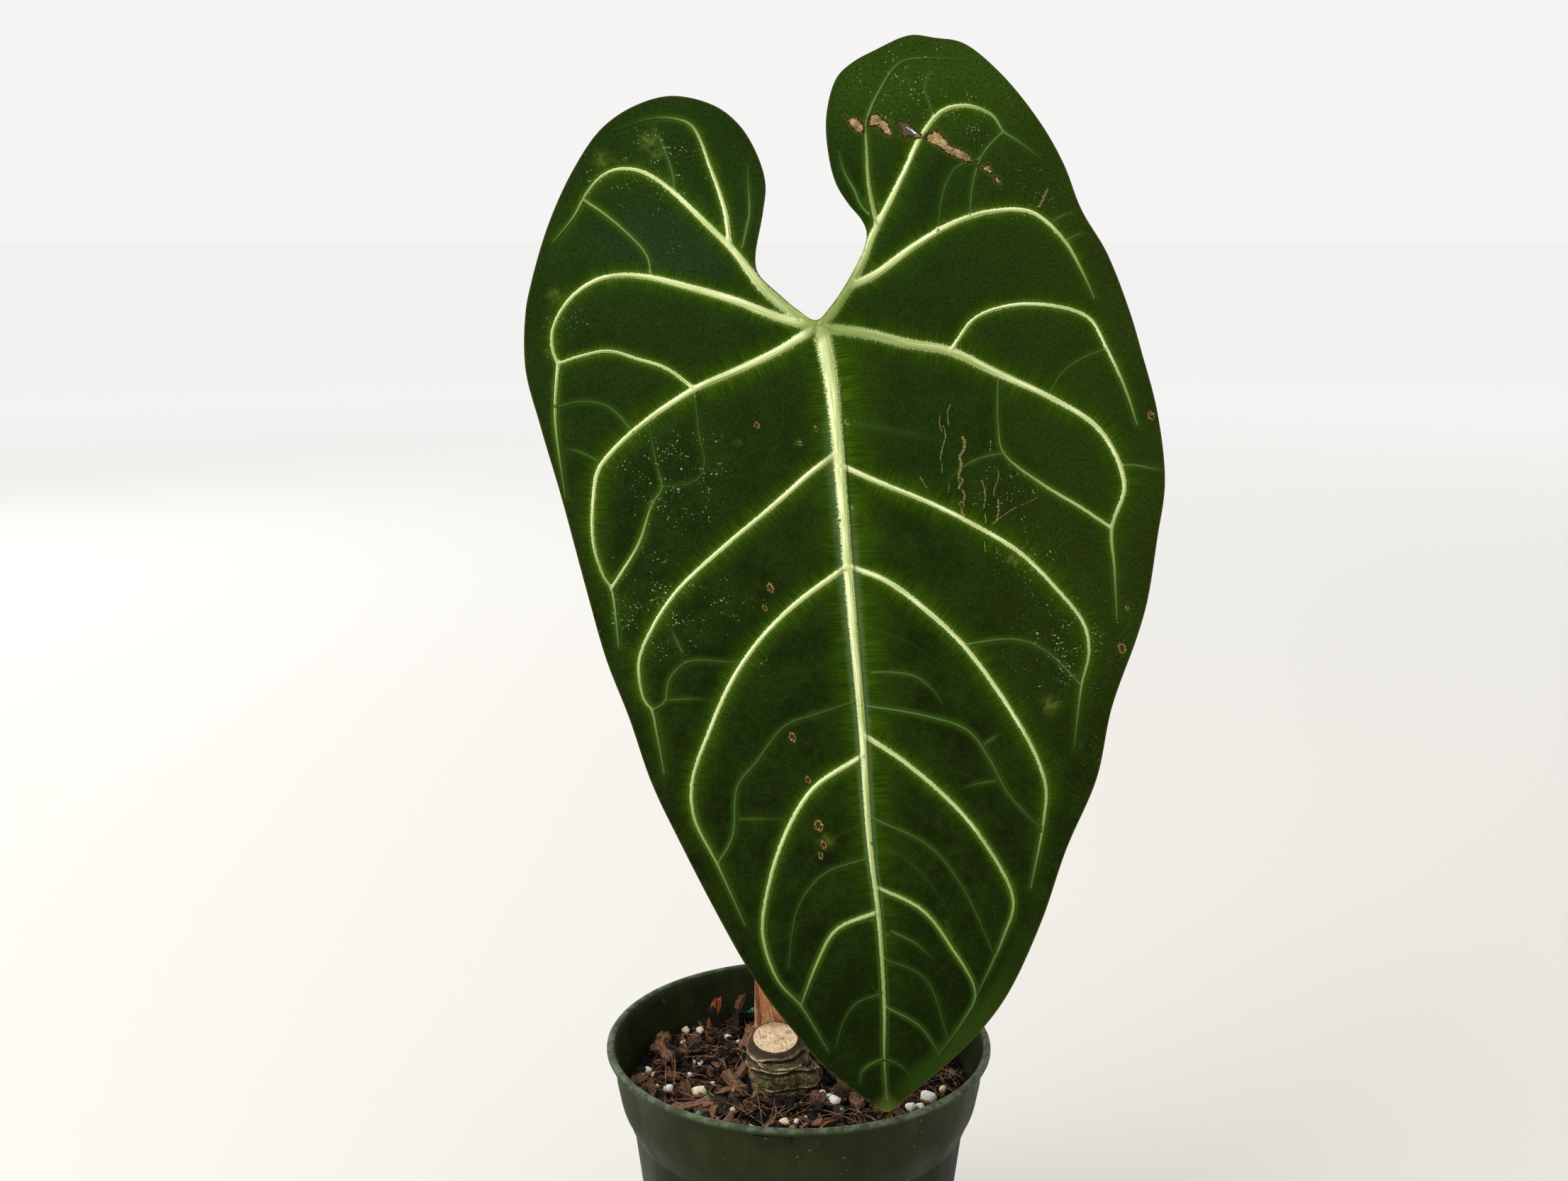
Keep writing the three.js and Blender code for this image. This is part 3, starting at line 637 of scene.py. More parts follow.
@dataclass(frozen=True)
class Surface:
    """The plain constants of a finish, set on the shader's own sockets."""

    name: str
    roughness: float = 0.6
    specular: float = 0.5
    sheen: float = 0.0
    sheen_roughness: float = 0.5
    sheen_tint: Colour = (1.0, 1.0, 1.0, 1.0)
    bump: float = 0.0
    bump_depth: float = 0.0003

    def start(self, effects: SharedEffects | None = None) -> Graph:
        """Starts the material.

        Args:
            effects: The groups that all materials share.

        Returns:
            A graph to build its colours in.
        """
        material = bpy.data.materials.new(self.name)
        material.use_nodes = True
        return Graph(material.node_tree, effects, material)

    def close(self, base: Signal, roughness: Signal | None = None, height: Signal | None = None
              ) -> bpy.types.Material:
        """Sets the shader's constants and feeds what changes over the surface.

        Args:
            base: The base colour, from the graph that start gave.
            roughness: The roughness, where it isn't one value.
            height: The height of the bump, where there is one.

        Returns:
            The material.
        """
        graph = base.graph
        shader = graph.tree.nodes["Principled BSDF"].inputs
        for label, value in (("Base Color", base), ("Roughness", roughness or self.roughness),
                             ("Specular IOR Level", self.specular), ("Sheen Weight", self.sheen),
                             ("Sheen Roughness", self.sheen_roughness), ("Sheen Tint", self.sheen_tint)):
            graph.feed(shader[label], value)
        if height:
            entries = {"Strength": self.bump, "Distance": self.bump_depth, "Height": height}
            graph.feed(shader["Normal"], graph.add("Bump", 0, entries))
        return graph.material


# ---------------------------------------------------------------- leaf


@dataclass(frozen=True)
class Vein:
    """One vein: its path from its parent outwards, with widths and paleness spaced evenly along it.

    Lengths are in millimetres. rib is how far it stands out of the back at both ends.
    """

    path: tuple[Point, ...]
    widths: tuple[float, ...]
    tones: tuple[float, ...]
    rib: Point = (0.0, 0.0)
    halo: float = 3.0
    raised: bool = True


OUTLINE: tuple[Point, ...] = (
    (-1, 2), (5, 8), (11, 17), (18, 31), (19, 37), (17, 42), (12, 48), (7, 56), (4, 67), (3, 83),
    (7, 98), (13, 104), (22, 109), (36, 115), (46, 114), (57, 112), (72, 100), (88, 80), (97, 64),
    (104, 46), (114, 29), (123, 6), (128, -11), (134, -34), (137, -62), (134, -84), (130, -109),
    (126, -123), (116, -151), (110, -179), (98, -207), (88, -236), (75, -264), (64, -279), (52, -291),
    (34, -306), (27, -311), (20, -307), (1, -292), (-10, -279), (-21, -265), (-30, -251), (-40, -233),
    (-54, -206), (-66, -181), (-75, -155), (-84, -132), (-92, -104), (-102, -67), (-110, -40),
    (-116, -17), (-116, 5), (-114, 16), (-107, 40), (-97, 62), (-86, 78), (-73, 87), (-58, 91),
    (-41, 87), (-31, 79), (-24, 67), (-21, 56), (-22, 45), (-25, 27), (-24, 21), (-15, 12), (-8, 6),
)

MIDRIB = Vein(
    ((1, -1), (5, -22), (9, -64), (13, -112), (17, -157), (20, -202), (24, -236), (26, -269),
     (26, -289), (27, -306)),
    (6.6, 5.0, 4.2, 3.6, 3.0, 2.5, 2.0, 1.6, 0.9), (1, 1, 1, 0.98, 0.94, 0.88, 0.8, 0.68, 0.42),
    (3, 0.6), 6.5)

MAIN_VEINS: tuple[Vein, ...] = (
    Vein(((-1, 0), (-8, 4), (-22, 15), (-33, 29), (-44, 40), (-60, 55), (-70, 61), (-79, 62), (-86, 59),
          (-92, 52), (-97, 43), (-105, 33)),
         (5.4, 4.2, 2.6, 2.1, 1.5, 1.0, 0.7), (0.62, 0.72, 0.92, 0.95, 0.88, 0.66, 0.3), (2.4, 0.3)),
    Vein(((-2, 0), (-15, 3), (-33, 10), (-54, 16), (-66, 19), (-78, 20), (-88, 18), (-98, 11), (-105, -1),
          (-105, -10), (-103, -15)),
         (4.0, 3.4, 3.0, 2.7, 2.2, 1.7, 1.4, 1.4), (0.7, 0.88, 0.95, 0.95, 0.9, 0.85, 0.78, 0.7), (2, 0.3)),
    Vein(((-3, -2), (-16, -10), (-33, -18), (-49, -25), (-66, -36), (-80, -48), (-87, -57), (-89, -68),
          (-89, -86), (-85, -99), (-82, -104), (-80, -117), (-79, -127)),
         (3.8, 3.2, 2.6, 2.1, 1.8, 1.5, 1.2, 0.9), (0.85, 0.98, 0.97, 0.92, 0.85, 0.75, 0.6, 0.35),
         (2, 0.3), 4.0),
    Vein(((8, -50), (-3, -58), (-20, -73), (-38, -88), (-56, -105), (-66, -120), (-71, -133), (-69, -148),
          (-66, -152), (-64, -161), (-61, -177)),
         (2.5, 2.2, 2.0, 1.8, 1.6, 1.3, 1.1, 0.9), (0.95, 0.95, 0.95, 0.9, 0.86, 0.76, 0.55, 0.35),
         (1.4, 0.2), 3.5),
    Vein(((11.5, -95), (-9, -110), (-23, -124), (-34, -140), (-43, -160), (-50, -181), (-49, -195),
          (-40, -213), (-29, -237)),
         (2.5, 2.1, 1.9, 1.7, 1.4, 1.1, 0.9), (0.95, 0.95, 0.92, 0.88, 0.8, 0.6, 0.3), (1.4, 0.2), 3.5),
    Vein(((17.5, -170), (-2, -183), (-13, -201), (-20, -223), (-22, -241), (-16, -259), (-7, -269),
          (4, -287)),
         (2.2, 1.9, 1.7, 1.5, 1.3, 1.1, 0.9), (0.92, 0.92, 0.9, 0.82, 0.72, 0.5, 0.25), (1.2, 0.2)),
    Vein(((23, -232), (7, -239), (-1, -253), (-7, -269)),
         (1.7, 1.4, 1.2, 1.0), (0.84, 0.8, 0.68, 0.42), (0.8, 0.2), 2.5),
    Vein(((1, 0), (7, 8), (13, 17), (18, 27), (21, 35), (26, 45), (34, 61), (40, 74), (49, 85), (59, 87),
          (69, 83), (73, 77), (79, 73), (88, 66)),
         (5.4, 4.4, 3.0, 2.5, 2.2, 2.0, 1.7, 1.2, 0.8), (0.58, 0.6, 0.75, 0.88, 0.88, 0.85, 0.7, 0.42, 0.15),
         (2.4, 0.3)),
    Vein(((13, 16), (22, 20), (37, 31), (52, 40), (67, 45), (84, 45), (97, 34), (105, 20), (109, 11)),
         (3.4, 3.0, 2.6, 2.2, 1.8, 1.5, 1.2, 0.9), (0.75, 0.88, 0.9, 0.9, 0.86, 0.8, 0.65, 0.35), (1.8, 0.3)),
    Vein(((3, -1), (18, -3), (35, -7), (52, -10), (69, -18), (91, -28), (109, -39), (117, -50), (121, -64),
          (116, -80), (117, -96), (118, -116)),
         (4.6, 4.2, 3.8, 3.2, 2.4, 2.0, 1.9, 1.7, 1.3, 0.9),
         (0.6, 0.68, 0.72, 0.8, 0.88, 0.9, 0.84, 0.7, 0.5, 0.28), (2.2, 0.3), 4.5),
    Vein(((8.5, -55), (24, -62), (44, -70), (62, -79), (80, -90), (95, -105), (105, -118), (107, -129),
          (104, -142), (102, -158), (101, -167)),
         (2.4, 2.1, 1.9, 1.8, 1.6, 1.4, 1.1, 0.8), (0.95, 0.95, 0.92, 0.9, 0.85, 0.75, 0.5, 0.2),
         (1.4, 0.2), 4.5),
    Vein(((12, -95), (27, -101), (42, -112), (57, -126), (74, -149), (86, -170), (90, -183), (89, -196),
          (84, -222)),
         (2.4, 2.1, 1.9, 1.8, 1.5, 1.2, 0.9), (0.95, 0.95, 0.92, 0.88, 0.82, 0.66, 0.35), (1.4, 0.2), 4.0),
    Vein(((18, -162), (32, -171), (52, -188), (64, -202), (77, -227), (73, -242), (63, -264)),
         (2.1, 1.8, 1.6, 1.4, 1.2, 0.9), (0.9, 0.88, 0.85, 0.78, 0.55, 0.25), (1.2, 0.2)),
    Vein(((23, -222), (41, -231), (52, -245), (62, -264), (57, -275), (46, -290)),
         (1.5, 1.3, 1.2, 1.0, 0.9), (0.82, 0.78, 0.68, 0.4, 0.15), (0.8, 0.2), 2.5),
)

FINE_VEINS: tuple[Vein, ...] = (
    Vein(((-93, 50), (-83, 43), (-75, 36), (-68, 28), (-66, 19)), (1.1, 1.0), (0.6, 0.5, 0.45), halo=1.8),
    Vein(((-35, 31), (-37, 45), (-43, 63), (-50, 79), (-57, 82), (-66, 82), (-81, 77)),
         (2.2, 1.8, 1.4, 1.1, 0.8, 0.6), (0.85, 0.86, 0.8, 0.62, 0.3, 0.12), halo=2.2),
    Vein(((-103, -15), (-104, -27), (-104, -39), (-102, -55), (-100, -68)), (1.4, 1.2, 1.0, 0.8),
         (0.75, 0.66, 0.5, 0.3), halo=2.0),
    Vein(((-49, -25), (-60, -17), (-72, -13), (-83, -10), (-94, -12), (-103, -15)), (1.5, 1.4, 1.3, 1.3),
         (0.85, 0.82, 0.76, 0.78), halo=2.2),
    Vein(((-73, -42), (-83, -32), (-93, -30), (-104, -32)), (1.0, 0.8), (0.36, 0.3, 0.28), halo=1.4),
    Vein(((-82, -104), (-71, -86), (-66, -71), (-62, -64), (-64, -55), (-67, -38)), (1.3, 1.1, 0.9, 0.8),
         (0.8, 0.7, 0.5, 0.26, 0.22), halo=1.8),
    Vein(((-49, -25), (-47, -44), (-45, -54), (-48, -61), (-62, -64)), (0.8, 0.7), (0.25, 0.25), halo=1.2),
    Vein(((-66, -152), (-61, -149), (-59, -140), (-52, -133), (-34, -133)), (0.9, 0.8), (0.4, 0.28),
         halo=1.4),
    Vein(((-40, -213), (-34, -202), (-32, -182), (-25, -173), (-13, -158), (-2, -154), (16, -148)),
         (1.0, 0.8), (0.42, 0.32, 0.28), halo=1.6),
    Vein(((21, -210), (2, -217), (-8, -230), (-12, -254)), (0.9, 0.7), (0.36, 0.24), halo=1.4),
    Vein(((25, -264), (15, -268), (10, -275), (7, -285)), (0.8, 0.7), (0.32, 0.28, 0.2), halo=1.2),
    Vein(((73, 77), (65, 68), (61, 56), (60, 44)), (0.9, 0.8), (0.42, 0.3), halo=1.4),
    Vein(((23, 40), (20, 55), (19, 70), (19, 81), (24, 93), (32, 104), (43, 106), (57, 105)),
         (2.0, 1.6, 1.3, 1.0, 0.8, 0.7), (0.66, 0.6, 0.5, 0.42, 0.36, 0.2), halo=2.0),
    Vein(((64, 66), (55, 63), (50, 55), (47, 38)), (0.8, 0.7), (0.3, 0.26), halo=1.3),
    Vein(((52, -10), (62, 3), (76, 8), (92, 8), (107, 3), (114, -9), (121, -24), (126, -39)),
         (1.5, 1.5, 1.5, 1.4, 1.2, 0.9), (0.85, 0.9, 0.88, 0.84, 0.72, 0.4), halo=2.4),
    Vein(((114, -9), (104, -13), (96, -19), (91, -28)), (0.8, 0.7), (0.32, 0.25), halo=1.2),
    Vein(((71, -19), (71, -39), (73, -50), (86, -61), (104, -72), (116, -80)), (0.9, 0.9, 1.2, 1.3),
         (0.3, 0.35, 0.6, 0.72, 0.76), halo=1.8),
    Vein(((57, -126), (78, -124), (89, -128), (104, -142)), (0.9, 0.8), (0.42, 0.34, 0.4), halo=1.4),
    Vein(((17, -150), (41, -154), (59, -160), (68, -172), (75, -185), (89, -200)), (1.0, 0.9, 0.7),
         (0.46, 0.42, 0.3), halo=1.6),
    Vein(((20, -194), (44, -206), (57, -222), (70, -250)), (0.9, 0.7), (0.42, 0.34, 0.24), halo=1.4),
    Vein(((25, -250), (42, -258), (52, -284)), (0.9, 0.7), (0.34, 0.24), halo=1.2),
    Vein(((26, -269), (40, -277), (48, -288)), (0.9, 0.8), (0.5, 0.3), halo=1.4),
)


def faint(path: tuple[Point, ...], tone: float = 0.28, width: float = 0.8) -> Vein:
    """Makes a vein that is only a thin, slightly paler line in the blade.

    Args:
        path: Its points in millimetres.
        tone: How pale it is.
        width: How wide it is, in millimetres.

    Returns:
        The vein.
    """
    return Vein(path, (width, 0.8 * width), (tone, tone, 0.4 * tone), halo=1.1, raised=False)


FAINT_VEINS: tuple[Vein, ...] = (
    faint(((-30, 32), (-29, 37), (-27.5, 44), (-27.5, 51), (-28, 58), (-28, 64)), 0.4),
    faint(((-57, 54), (-58, 61), (-60, 67), (-62, 72), (-65, 77), (-66, 81)), 0.34),
    faint(((45, 84), (43.5, 89), (42, 93), (43, 99), (44, 105)), 0.3),
    faint(((19, 45), (16.5, 48), (14, 54), (11, 59), (9, 64), (8, 69)), 0.42, 1.0),
    faint(((92, 41), (97, 44), (102, 45))),
    faint(((98, 34), (102, 36), (107, 37))),
    faint(((-54, -129), (-59, -119)), 0.3),
    faint(((-61, -148), (-50, -147.5), (-41, -148)), 0.25),
    faint(((-31, -195), (-12, -195)), 0.25),
    faint(((21, -137), (30, -137), (39, -139), (46, -145), (49, -150)), 0.34),
    faint(((66, -165), (72, -161)), 0.28),
    faint(((70, -180), (63, -181), (56, -183)), 0.28),
    faint(((29, -239.5), (38, -244), (45, -250)), 0.34),
    faint(((25, -290), (20.5, -292), (17, -295), (16.5, -300)), 0.36, 0.9),
    faint(((27, -290), (33, -293), (37, -298)), 0.24),
    faint(((72, -50.5), (66, -51.6), (60, -54), (55.5, -57), (50.5, -62)), 0.3),
    faint(((121, -55), (125, -55), (130, -56), (137, -57)), 0.36),
    faint(((-88, -53), (-92, -51), (-97, -49), (-101, -49)), 0.3),
    faint(((11, -38), (28, -41), (42, -44), (57, -49)), 0.12, 3.0),
    faint(((14, -72), (34, -82), (52, -92), (66, -106)), 0.06, 2.0),
    faint(((15, -118), (33, -124), (48, -134), (60, -148)), 0.12),
    faint(((21, -205), (36, -212), (48, -226), (54, -240)), 0.16),
    faint(((10, -76), (-6, -84), (-24, -98), (-40, -116)), 0.06, 2.0),
    faint(((14, -128), (-2, -136), (-16, -150), (-28, -168)), 0.1),
    faint(((20, -196), (4, -204), (-8, -218), (-15, -236)), 0.14),
)


@dataclass(frozen=True)
class Scratch:
    """A dry scratch on the blade: its path and its width, in millimetres."""

    path: tuple[Point, ...]
    width: float = 0.5


SCARS: tuple[tuple[Point, ...], ...] = (
    ((10.4, 83.3), (11.8, 82), (14.3, 82.4), (16.5, 80.8), (17.9, 78.8), (17.4, 76.3), (15.4, 76.5),
     (13.5, 78.5), (11.8, 80.5)),
    ((19.9, 81.9), (21.3, 83.6), (23.3, 84.1), (24.7, 81.9), (26.9, 80.8), (28, 78.5), (29.2, 75.7),
     (28, 75.1), (25.8, 76.5), (24.1, 78.2), (23, 79.4), (19.9, 79)),
    ((30, 81.6), (32.3, 81), (35.3, 80.5), (37.3, 78.5), (39.3, 76.8), (40.4, 74.6), (38.4, 74.3),
     (35.9, 75.1), (33.6, 73.8), (33.1, 75.7), (32.5, 78.2)),
    ((41.8, 74.6), (43.5, 76), (45.7, 76.8), (46.8, 78), (48.2, 76), (51, 73.2), (52.4, 71.2), (54.7, 70.4),
     (56.9, 69.3), (59.2, 68.4), (60.3, 66.2), (61.1, 64.8), (59.2, 64.5), (56.4, 65.9), (53.3, 67),
     (50.8, 68.1), (48, 70.4), (44.9, 72)),
    ((63.9, 63.4), (65.9, 63.4), (67, 64.2), (68.1, 62.2), (68.7, 60), (67, 60.6), (65.1, 62)),
    ((69.6, 58.8), (71.4, 58.6), (72, 56.8), (70.4, 56.2)),
)
SLIT: tuple[Point, ...] = ((33.4, 79.3), (35.6, 78.4), (37.9, 77.1), (39.3, 75.4), (37.9, 76.1), (35.3, 78))
SCRATCHES: tuple[Scratch, ...] = (
    Scratch(((52.2, -31.1), (51, -33.6), (51.3, -39.3))),
    Scratch(((48.2, -35.6), (47.7, -37.9), (48.5, -41.5)), 0.4),
    Scratch(((49.4, -39.8), (50.2, -43.7), (49.1, -47.7), (48.2, -52.2))),
    Scratch(((48.8, -55), (48.8, -58.3)), 0.4),
    Scratch(((56.9, -44), (57.8, -46.5), (57.5, -48.8), (55.8, -51.9), (56.4, -54.7), (55.5, -59.4),
             (56.4, -61.7), (55.5, -63.9)), 1.2),
    Scratch(((56.9, -65.1), (57.8, -67.3), (56.9, -70.7), (56.6, -73.5), (57.8, -75.7)), 0.9),
    Scratch(((51.6, -62.8), (51.3, -65.6)), 0.4),
    Scratch(((40.1, -59.7), (42.6, -63.9)), 0.4),
    Scratch(((64.5, -61.1), (65.6, -64.5), (65.9, -68.7), (65.1, -72.1))),
    Scratch(((65.9, -74.6), (66.2, -78)), 0.5),
    Scratch(((65.6, -85.5), (65.9, -89.2)), 0.4),
    Scratch(((71.2, -57.2), (70.9, -60.8), (69.5, -64.5), (69.3, -67)), 0.4),
    Scratch(((70.9, -68.7), (71.2, -72.9), (70.4, -77.1)), 0.6),
    Scratch(((70.4, -87.5), (70.4, -90)), 0.4),
    Scratch(((68.1, -45.4), (67.9, -49.6)), 0.4),
    Scratch(((75.4, -58.9), (76.5, -60)), 0.5),
    Scratch(((84.4, -64.5), (85, -65.9)), 0.5),
    Scratch(((90.6, 54.1), (88.9, 50.5), (87.2, 47.1)), 0.8),
    Scratch(((69.3, -78), (72.9, -75.1), (77.1, -72.3), (82.7, -69.8), (86.6, -67.9)), 0.3),
)
BROWN_SPOTS: tuple[tuple[float, float, float], ...] = (
    (-19.1, -103.7, 1.6), (-21.3, -111.6, 1.2), (-10.4, -162.6, 1.6), (-4.2, -179.5, 1.3), (0, -197.7, 2.0),
    (2, -205.3, 1.4), (0.8, -209.5, 1.2), (120, -127.6, 1.8), (122, -111.6, 0.9), (-24.4, -39.3, 1.2),
    (-1.1, -40.7, 0.9), (-7.3, -46.5, 0.9), (56.1, -61.1, 1.3), (56.6, -70.7, 1.2), (131.6, -35.6, 1.6),
)
YELLOW_PATCHES: tuple[tuple[float, float, float], ...] = (
    (-85.5, 66, 2.8), (-67, 73, 3.2), (-64, 68, 2.0), (-104, 12, 2.6), (-8, -46, 1.0), (-32, -46, 1.0),
    (77, -93, 2.4), (3, -204, 2.6), (92, -150, 3.0),
)
# Where pale mineral specks gather: u, v and reach in millimetres, and strength
SPECK_FIELDS: tuple[tuple[float, float, float, float], ...] = (
    (-58, -60, 26, 0.9), (-66, -112, 24, 0.9), (-34, -112, 16, 0.7), (-64, 62, 20, 0.9), (-94, 62, 12, 0.9),
    (-102, -2, 16, 0.6), (34, 98, 22, 0.8), (62, 84, 16, 0.7), (98, -128, 24, 1.0), (84, -92, 16, 0.7),
    (72, -66, 16, 0.7), (-22, -134, 10, 0.5), (84, 52, 14, 0.7), (-60, 30, 22, 0.4), (104, -170, 16, 0.5),
)


# The way across the leaf that the light comes from
LIGHT_SIDE = np.array([-0.75, 0.66])


@dataclass
class LeafFields:
    """What is known at many places of the blade, one number for each place."""

    q: np.ndarray
    tone: np.ndarray
    halo: np.ndarray
    along: np.ndarray
    side: np.ndarray
    ridge: np.ndarray
    rib: np.ndarray
    groove: np.ndarray
    mid: np.ndarray
    owner: np.ndarray
    bed: np.ndarray
    lit: np.ndarray
    edge: np.ndarray


@dataclass
class Leaf:
    """The blade and its net of veins, in the CAD leaf's own plane. Lengths in millimetres."""

    junction: tuple[float, float, float] = (7.4, -4.4, 449.0)
    lean: float = math.radians(11.4)
    view_distance: float = 701.0
    view_centre: Point = (-13.7, -104.6)
    thickness: float = 0.7
    rim_thickness: float = 0.5
    side_fall: float = 16.0
    lobe_fall: float = 15.0
    quilting: float = 2.4
    wave_height: float = 2.4
    wave_length: float = 56.0
    wave_reach: float = 24.0
    rim_length: float = 1180.0
    half_width: float = 130.0
    lobe_length: float = 115.0
    tip_start: float = 250.0
    tip_length: float = 60.0
    quilt_width: float = 7.0
    tip_curl: float = 4.0
    lattice: float = 1.95
    rim_step: float = 1.5
    row_step: float = 1.8
    net_edge: float = 1.18
    vein_reach: float = 30.0
    veins: tuple[Vein, ...] = (MIDRIB, *MAIN_VEINS, *FINE_VEINS, *FAINT_VEINS)

    def __post_init__(self) -> None:
        """Samples the veins and the rim once."""
        self.lines = [smooth_line(vein.path, 1.5) for vein in self.veins]
        self.rim = smooth_line(OUTLINE, self.rim_step, closed=True)
        self.rim_closed = np.vstack([self.rim, self.rim[:1]])

    def place(self, uv: np.ndarray, w: np.ndarray, seen: np.ndarray) -> np.ndarray:
        """Turns leaf places into points in metres.

        Args:
            uv: Places in the leaf's plane.
            w: Height out of the plane.
            seen: Height at which the outline was drawn, which the nearer parts shrink by.

        Returns:
            Points, one row each.
        """
        centre = np.array(self.view_centre)
        flat = centre + (uv - centre) * (1 - seen / self.view_distance)[:, None]
        up = np.array([0, math.sin(self.lean), math.cos(self.lean)])
        out = np.array([0, -math.cos(self.lean), math.sin(self.lean)])
        points = np.array(self.junction) + flat[:, :1] * [1, 0, 0] + flat[:, 1:] * up + w[:, None] * out
        return points * MM

    def read_veins(self, uv: np.ndarray) -> LeafFields:
        """Measures places against every vein.

        Args:
            uv: Places in the leaf's plane.

        Returns:
            The fields at those places.
        """
        found = LeafFields(*(np.zeros(len(uv)) for _ in fields(LeafFields)))
        found.q += 9.0
        found.mid += 9.0
        found.bed += 60.0
        found.owner -= 1
        for number, (vein, line) in enumerate(zip(self.veins, self.lines)):
            near = np.flatnonzero(
                ((uv > line.min(0) - self.vein_reach) & (uv < line.max(0) + self.vein_reach)).all(1))
            if not len(near):
                continue
            hit = near_line(line, uv[near])
            share = hit.along / max(hit.along.max(), 1e-9)
            half = 0.5 * spaced(share, vein.widths)
            tone = spaced(share, vein.tones)
            rib = vein.rib[0] + (vein.rib[1] - vein.rib[0]) * share
            q = hit.distance / half
            spread = np.where((number == 0) & (hit.side < 0), 1.5 * vein.halo, vein.halo)
            halo = tone * np.exp(-np.maximum(0, hit.distance - half) / spread)
            found.halo[near] = np.maximum(found.halo[near], halo * (0.9 if vein.raised else 0.6))
            crest = (0.5 + 0.45 * half) if vein.raised else 0.3 * tone
            body = np.cos(0.5 * math.pi * np.clip(q / self.net_edge, 0, 1) ** 1.6) ** 2
            if vein.raised:
                found.ridge[near] = np.maximum(found.ridge[near], crest * body)
                found.bed[near] = np.minimum(found.bed[near], hit.distance)
                dip = 0.28 * np.minimum(half, 1.3) * np.exp(-(((q - 1.45) / 0.35) ** 2))
                found.groove[near] = np.maximum(found.groove[near], dip)
                root = np.clip(1 - (hit.distance / (half + 0.6 * rib + 0.4)) ** 2, 0, 1)
                found.rib[near] = np.maximum(found.rib[near], (rib + 0.35) * root)
                found.mid[near] = np.minimum(found.mid[near], q)
            else:
                found.groove[near] = np.maximum(found.groove[near], -crest * body)
            # A pale vein wins over a faint one that runs into it
            closer = q + 0.6 * (1 - tone) < found.q[near] + 0.6 * (1 - found.tone[near])
            chosen = near[closer]
            own = {"q": q, "tone": tone, "along": hit.along + 37.0 * number, "side": hit.side * hit.distance,
                   "lit": hit.offset @ LIGHT_SIDE / half, "edge": hit.distance - half}
            for key, values in own.items():
                getattr(found, key)[chosen] = values[closer]
            found.owner[chosen] = number
        return found

    def relief(self, uv: np.ndarray, bed: np.ndarray) -> np.ndarray:
        """Gives the face's height: arch, lobes that fall back, quilted panels and waved rim.

        Args:
            uv: Places in the leaf's plane.
            bed: Distance to the nearest raised vein.

        Returns:
            The height of each place.
        """
        path = np.array(MIDRIB.path)[::-1]
        side = (uv[:, 0] - np.interp(uv[:, 1], path[:, 1], path[:, 0])) / self.half_width
        lobe = np.maximum(0, uv[:, 1]) / self.lobe_length
        tip = np.maximum(0, -uv[:, 1] - self.tip_start) / self.tip_length
        rim = near_line(self.rim_closed, uv)
        near_rim = np.maximum(0, 1 - rim.distance / self.wave_reach)
        ahead = rim.along / (len(self.rim) * self.rim_step) * self.rim_length
        wave = self.wave_height * np.sin(2 * math.pi * ahead / self.wave_length)
        puff = self.quilting * (1 - np.exp(-((bed / self.quilt_width) ** 2))) * (1 - 0.6 * near_rim)
        height = puff - self.side_fall * side**2 - self.lobe_fall * lobe**2 + self.tip_curl * tip**2
        height += wave * near_rim**2
        flat = np.column_stack([uv, np.zeros(len(uv))])
        calm = np.clip(bed / 6, 0, 1)
        height += calm * (0.45 * value_noise(flat, 17.0, 3.1) + 0.22 * value_noise(flat, 6.5, 8.4))
        return height

    def layout(self) -> np.ndarray:
        """Places the mesh's points: rim, rows beside every vein, marks, and a lattice between them.

        Returns:
            The points, with the rim first.
        """
        rows = []
        for number, vein in enumerate(self.veins):
            spine = smooth_line(vein.path, self.row_step)
            across = to_the_right(spine)
            half = 0.5 * spaced(np.linspace(0, 1, len(spine)), vein.widths)
            if number < 1 + len(MAIN_VEINS):
                offsets = (0, 0.5, 0.85, 1.18, 1.6)
            else:
                offsets = (0, 0.8, 1.5) if vein.raised else (0, 1.3)
            for offset in offsets:
                for way in ((1, -1) if offset else (1,)):
                    row = spine + way * offset * half[:, None] * across
                    found = self.read_veins(row)
                    own = (found.owner == number) | (found.q > offset - 0.02)
                    rows.append(row[own])
        for scar in (*SCARS, SLIT):
            ring = smooth_line(scar, 0.7, closed=True)
            middle = ring.mean(0)
            rows.extend(middle + (ring - middle) * grow for grow in (0.45, 0.75, 1.0, 1.2))
        for scratch in SCRATCHES:
            spine = smooth_line(scratch.path, 0.7)
            rows.extend(spine + off * scratch.width * to_the_right(spine) for off in (-1.1, 0, 1.1))
        for u, v, radius in BROWN_SPOTS:
            turn = np.linspace(0, 2 * math.pi, 10, endpoint=False)
            for reach in (0.5, 1.0, 1.5):
                rows.append(np.column_stack([np.cos(turn), np.sin(turn)]) * reach * radius + (u, v))
        placed = np.vstack(rows)
        keep = inside_ring(self.rim, placed) & (near_line(self.rim_closed, placed).distance > 0.5)
        placed = self.thinned(placed[keep], 0.38)
        u, v = np.meshgrid(np.arange(-118, 140, self.lattice), np.arange(-312, 116, 0.87 * self.lattice))
        u[1::2] += 0.5 * self.lattice
        lattice = np.column_stack([u.ravel(), v.ravel()])
        lattice = lattice[inside_ring(self.rim, lattice)]
        lattice = lattice[near_line(self.rim_closed, lattice).distance > 0.8 * self.lattice]
        crowded = self.crowded(lattice, placed, 0.62 * self.lattice)
        return np.vstack([self.rim, placed, lattice[~crowded]])

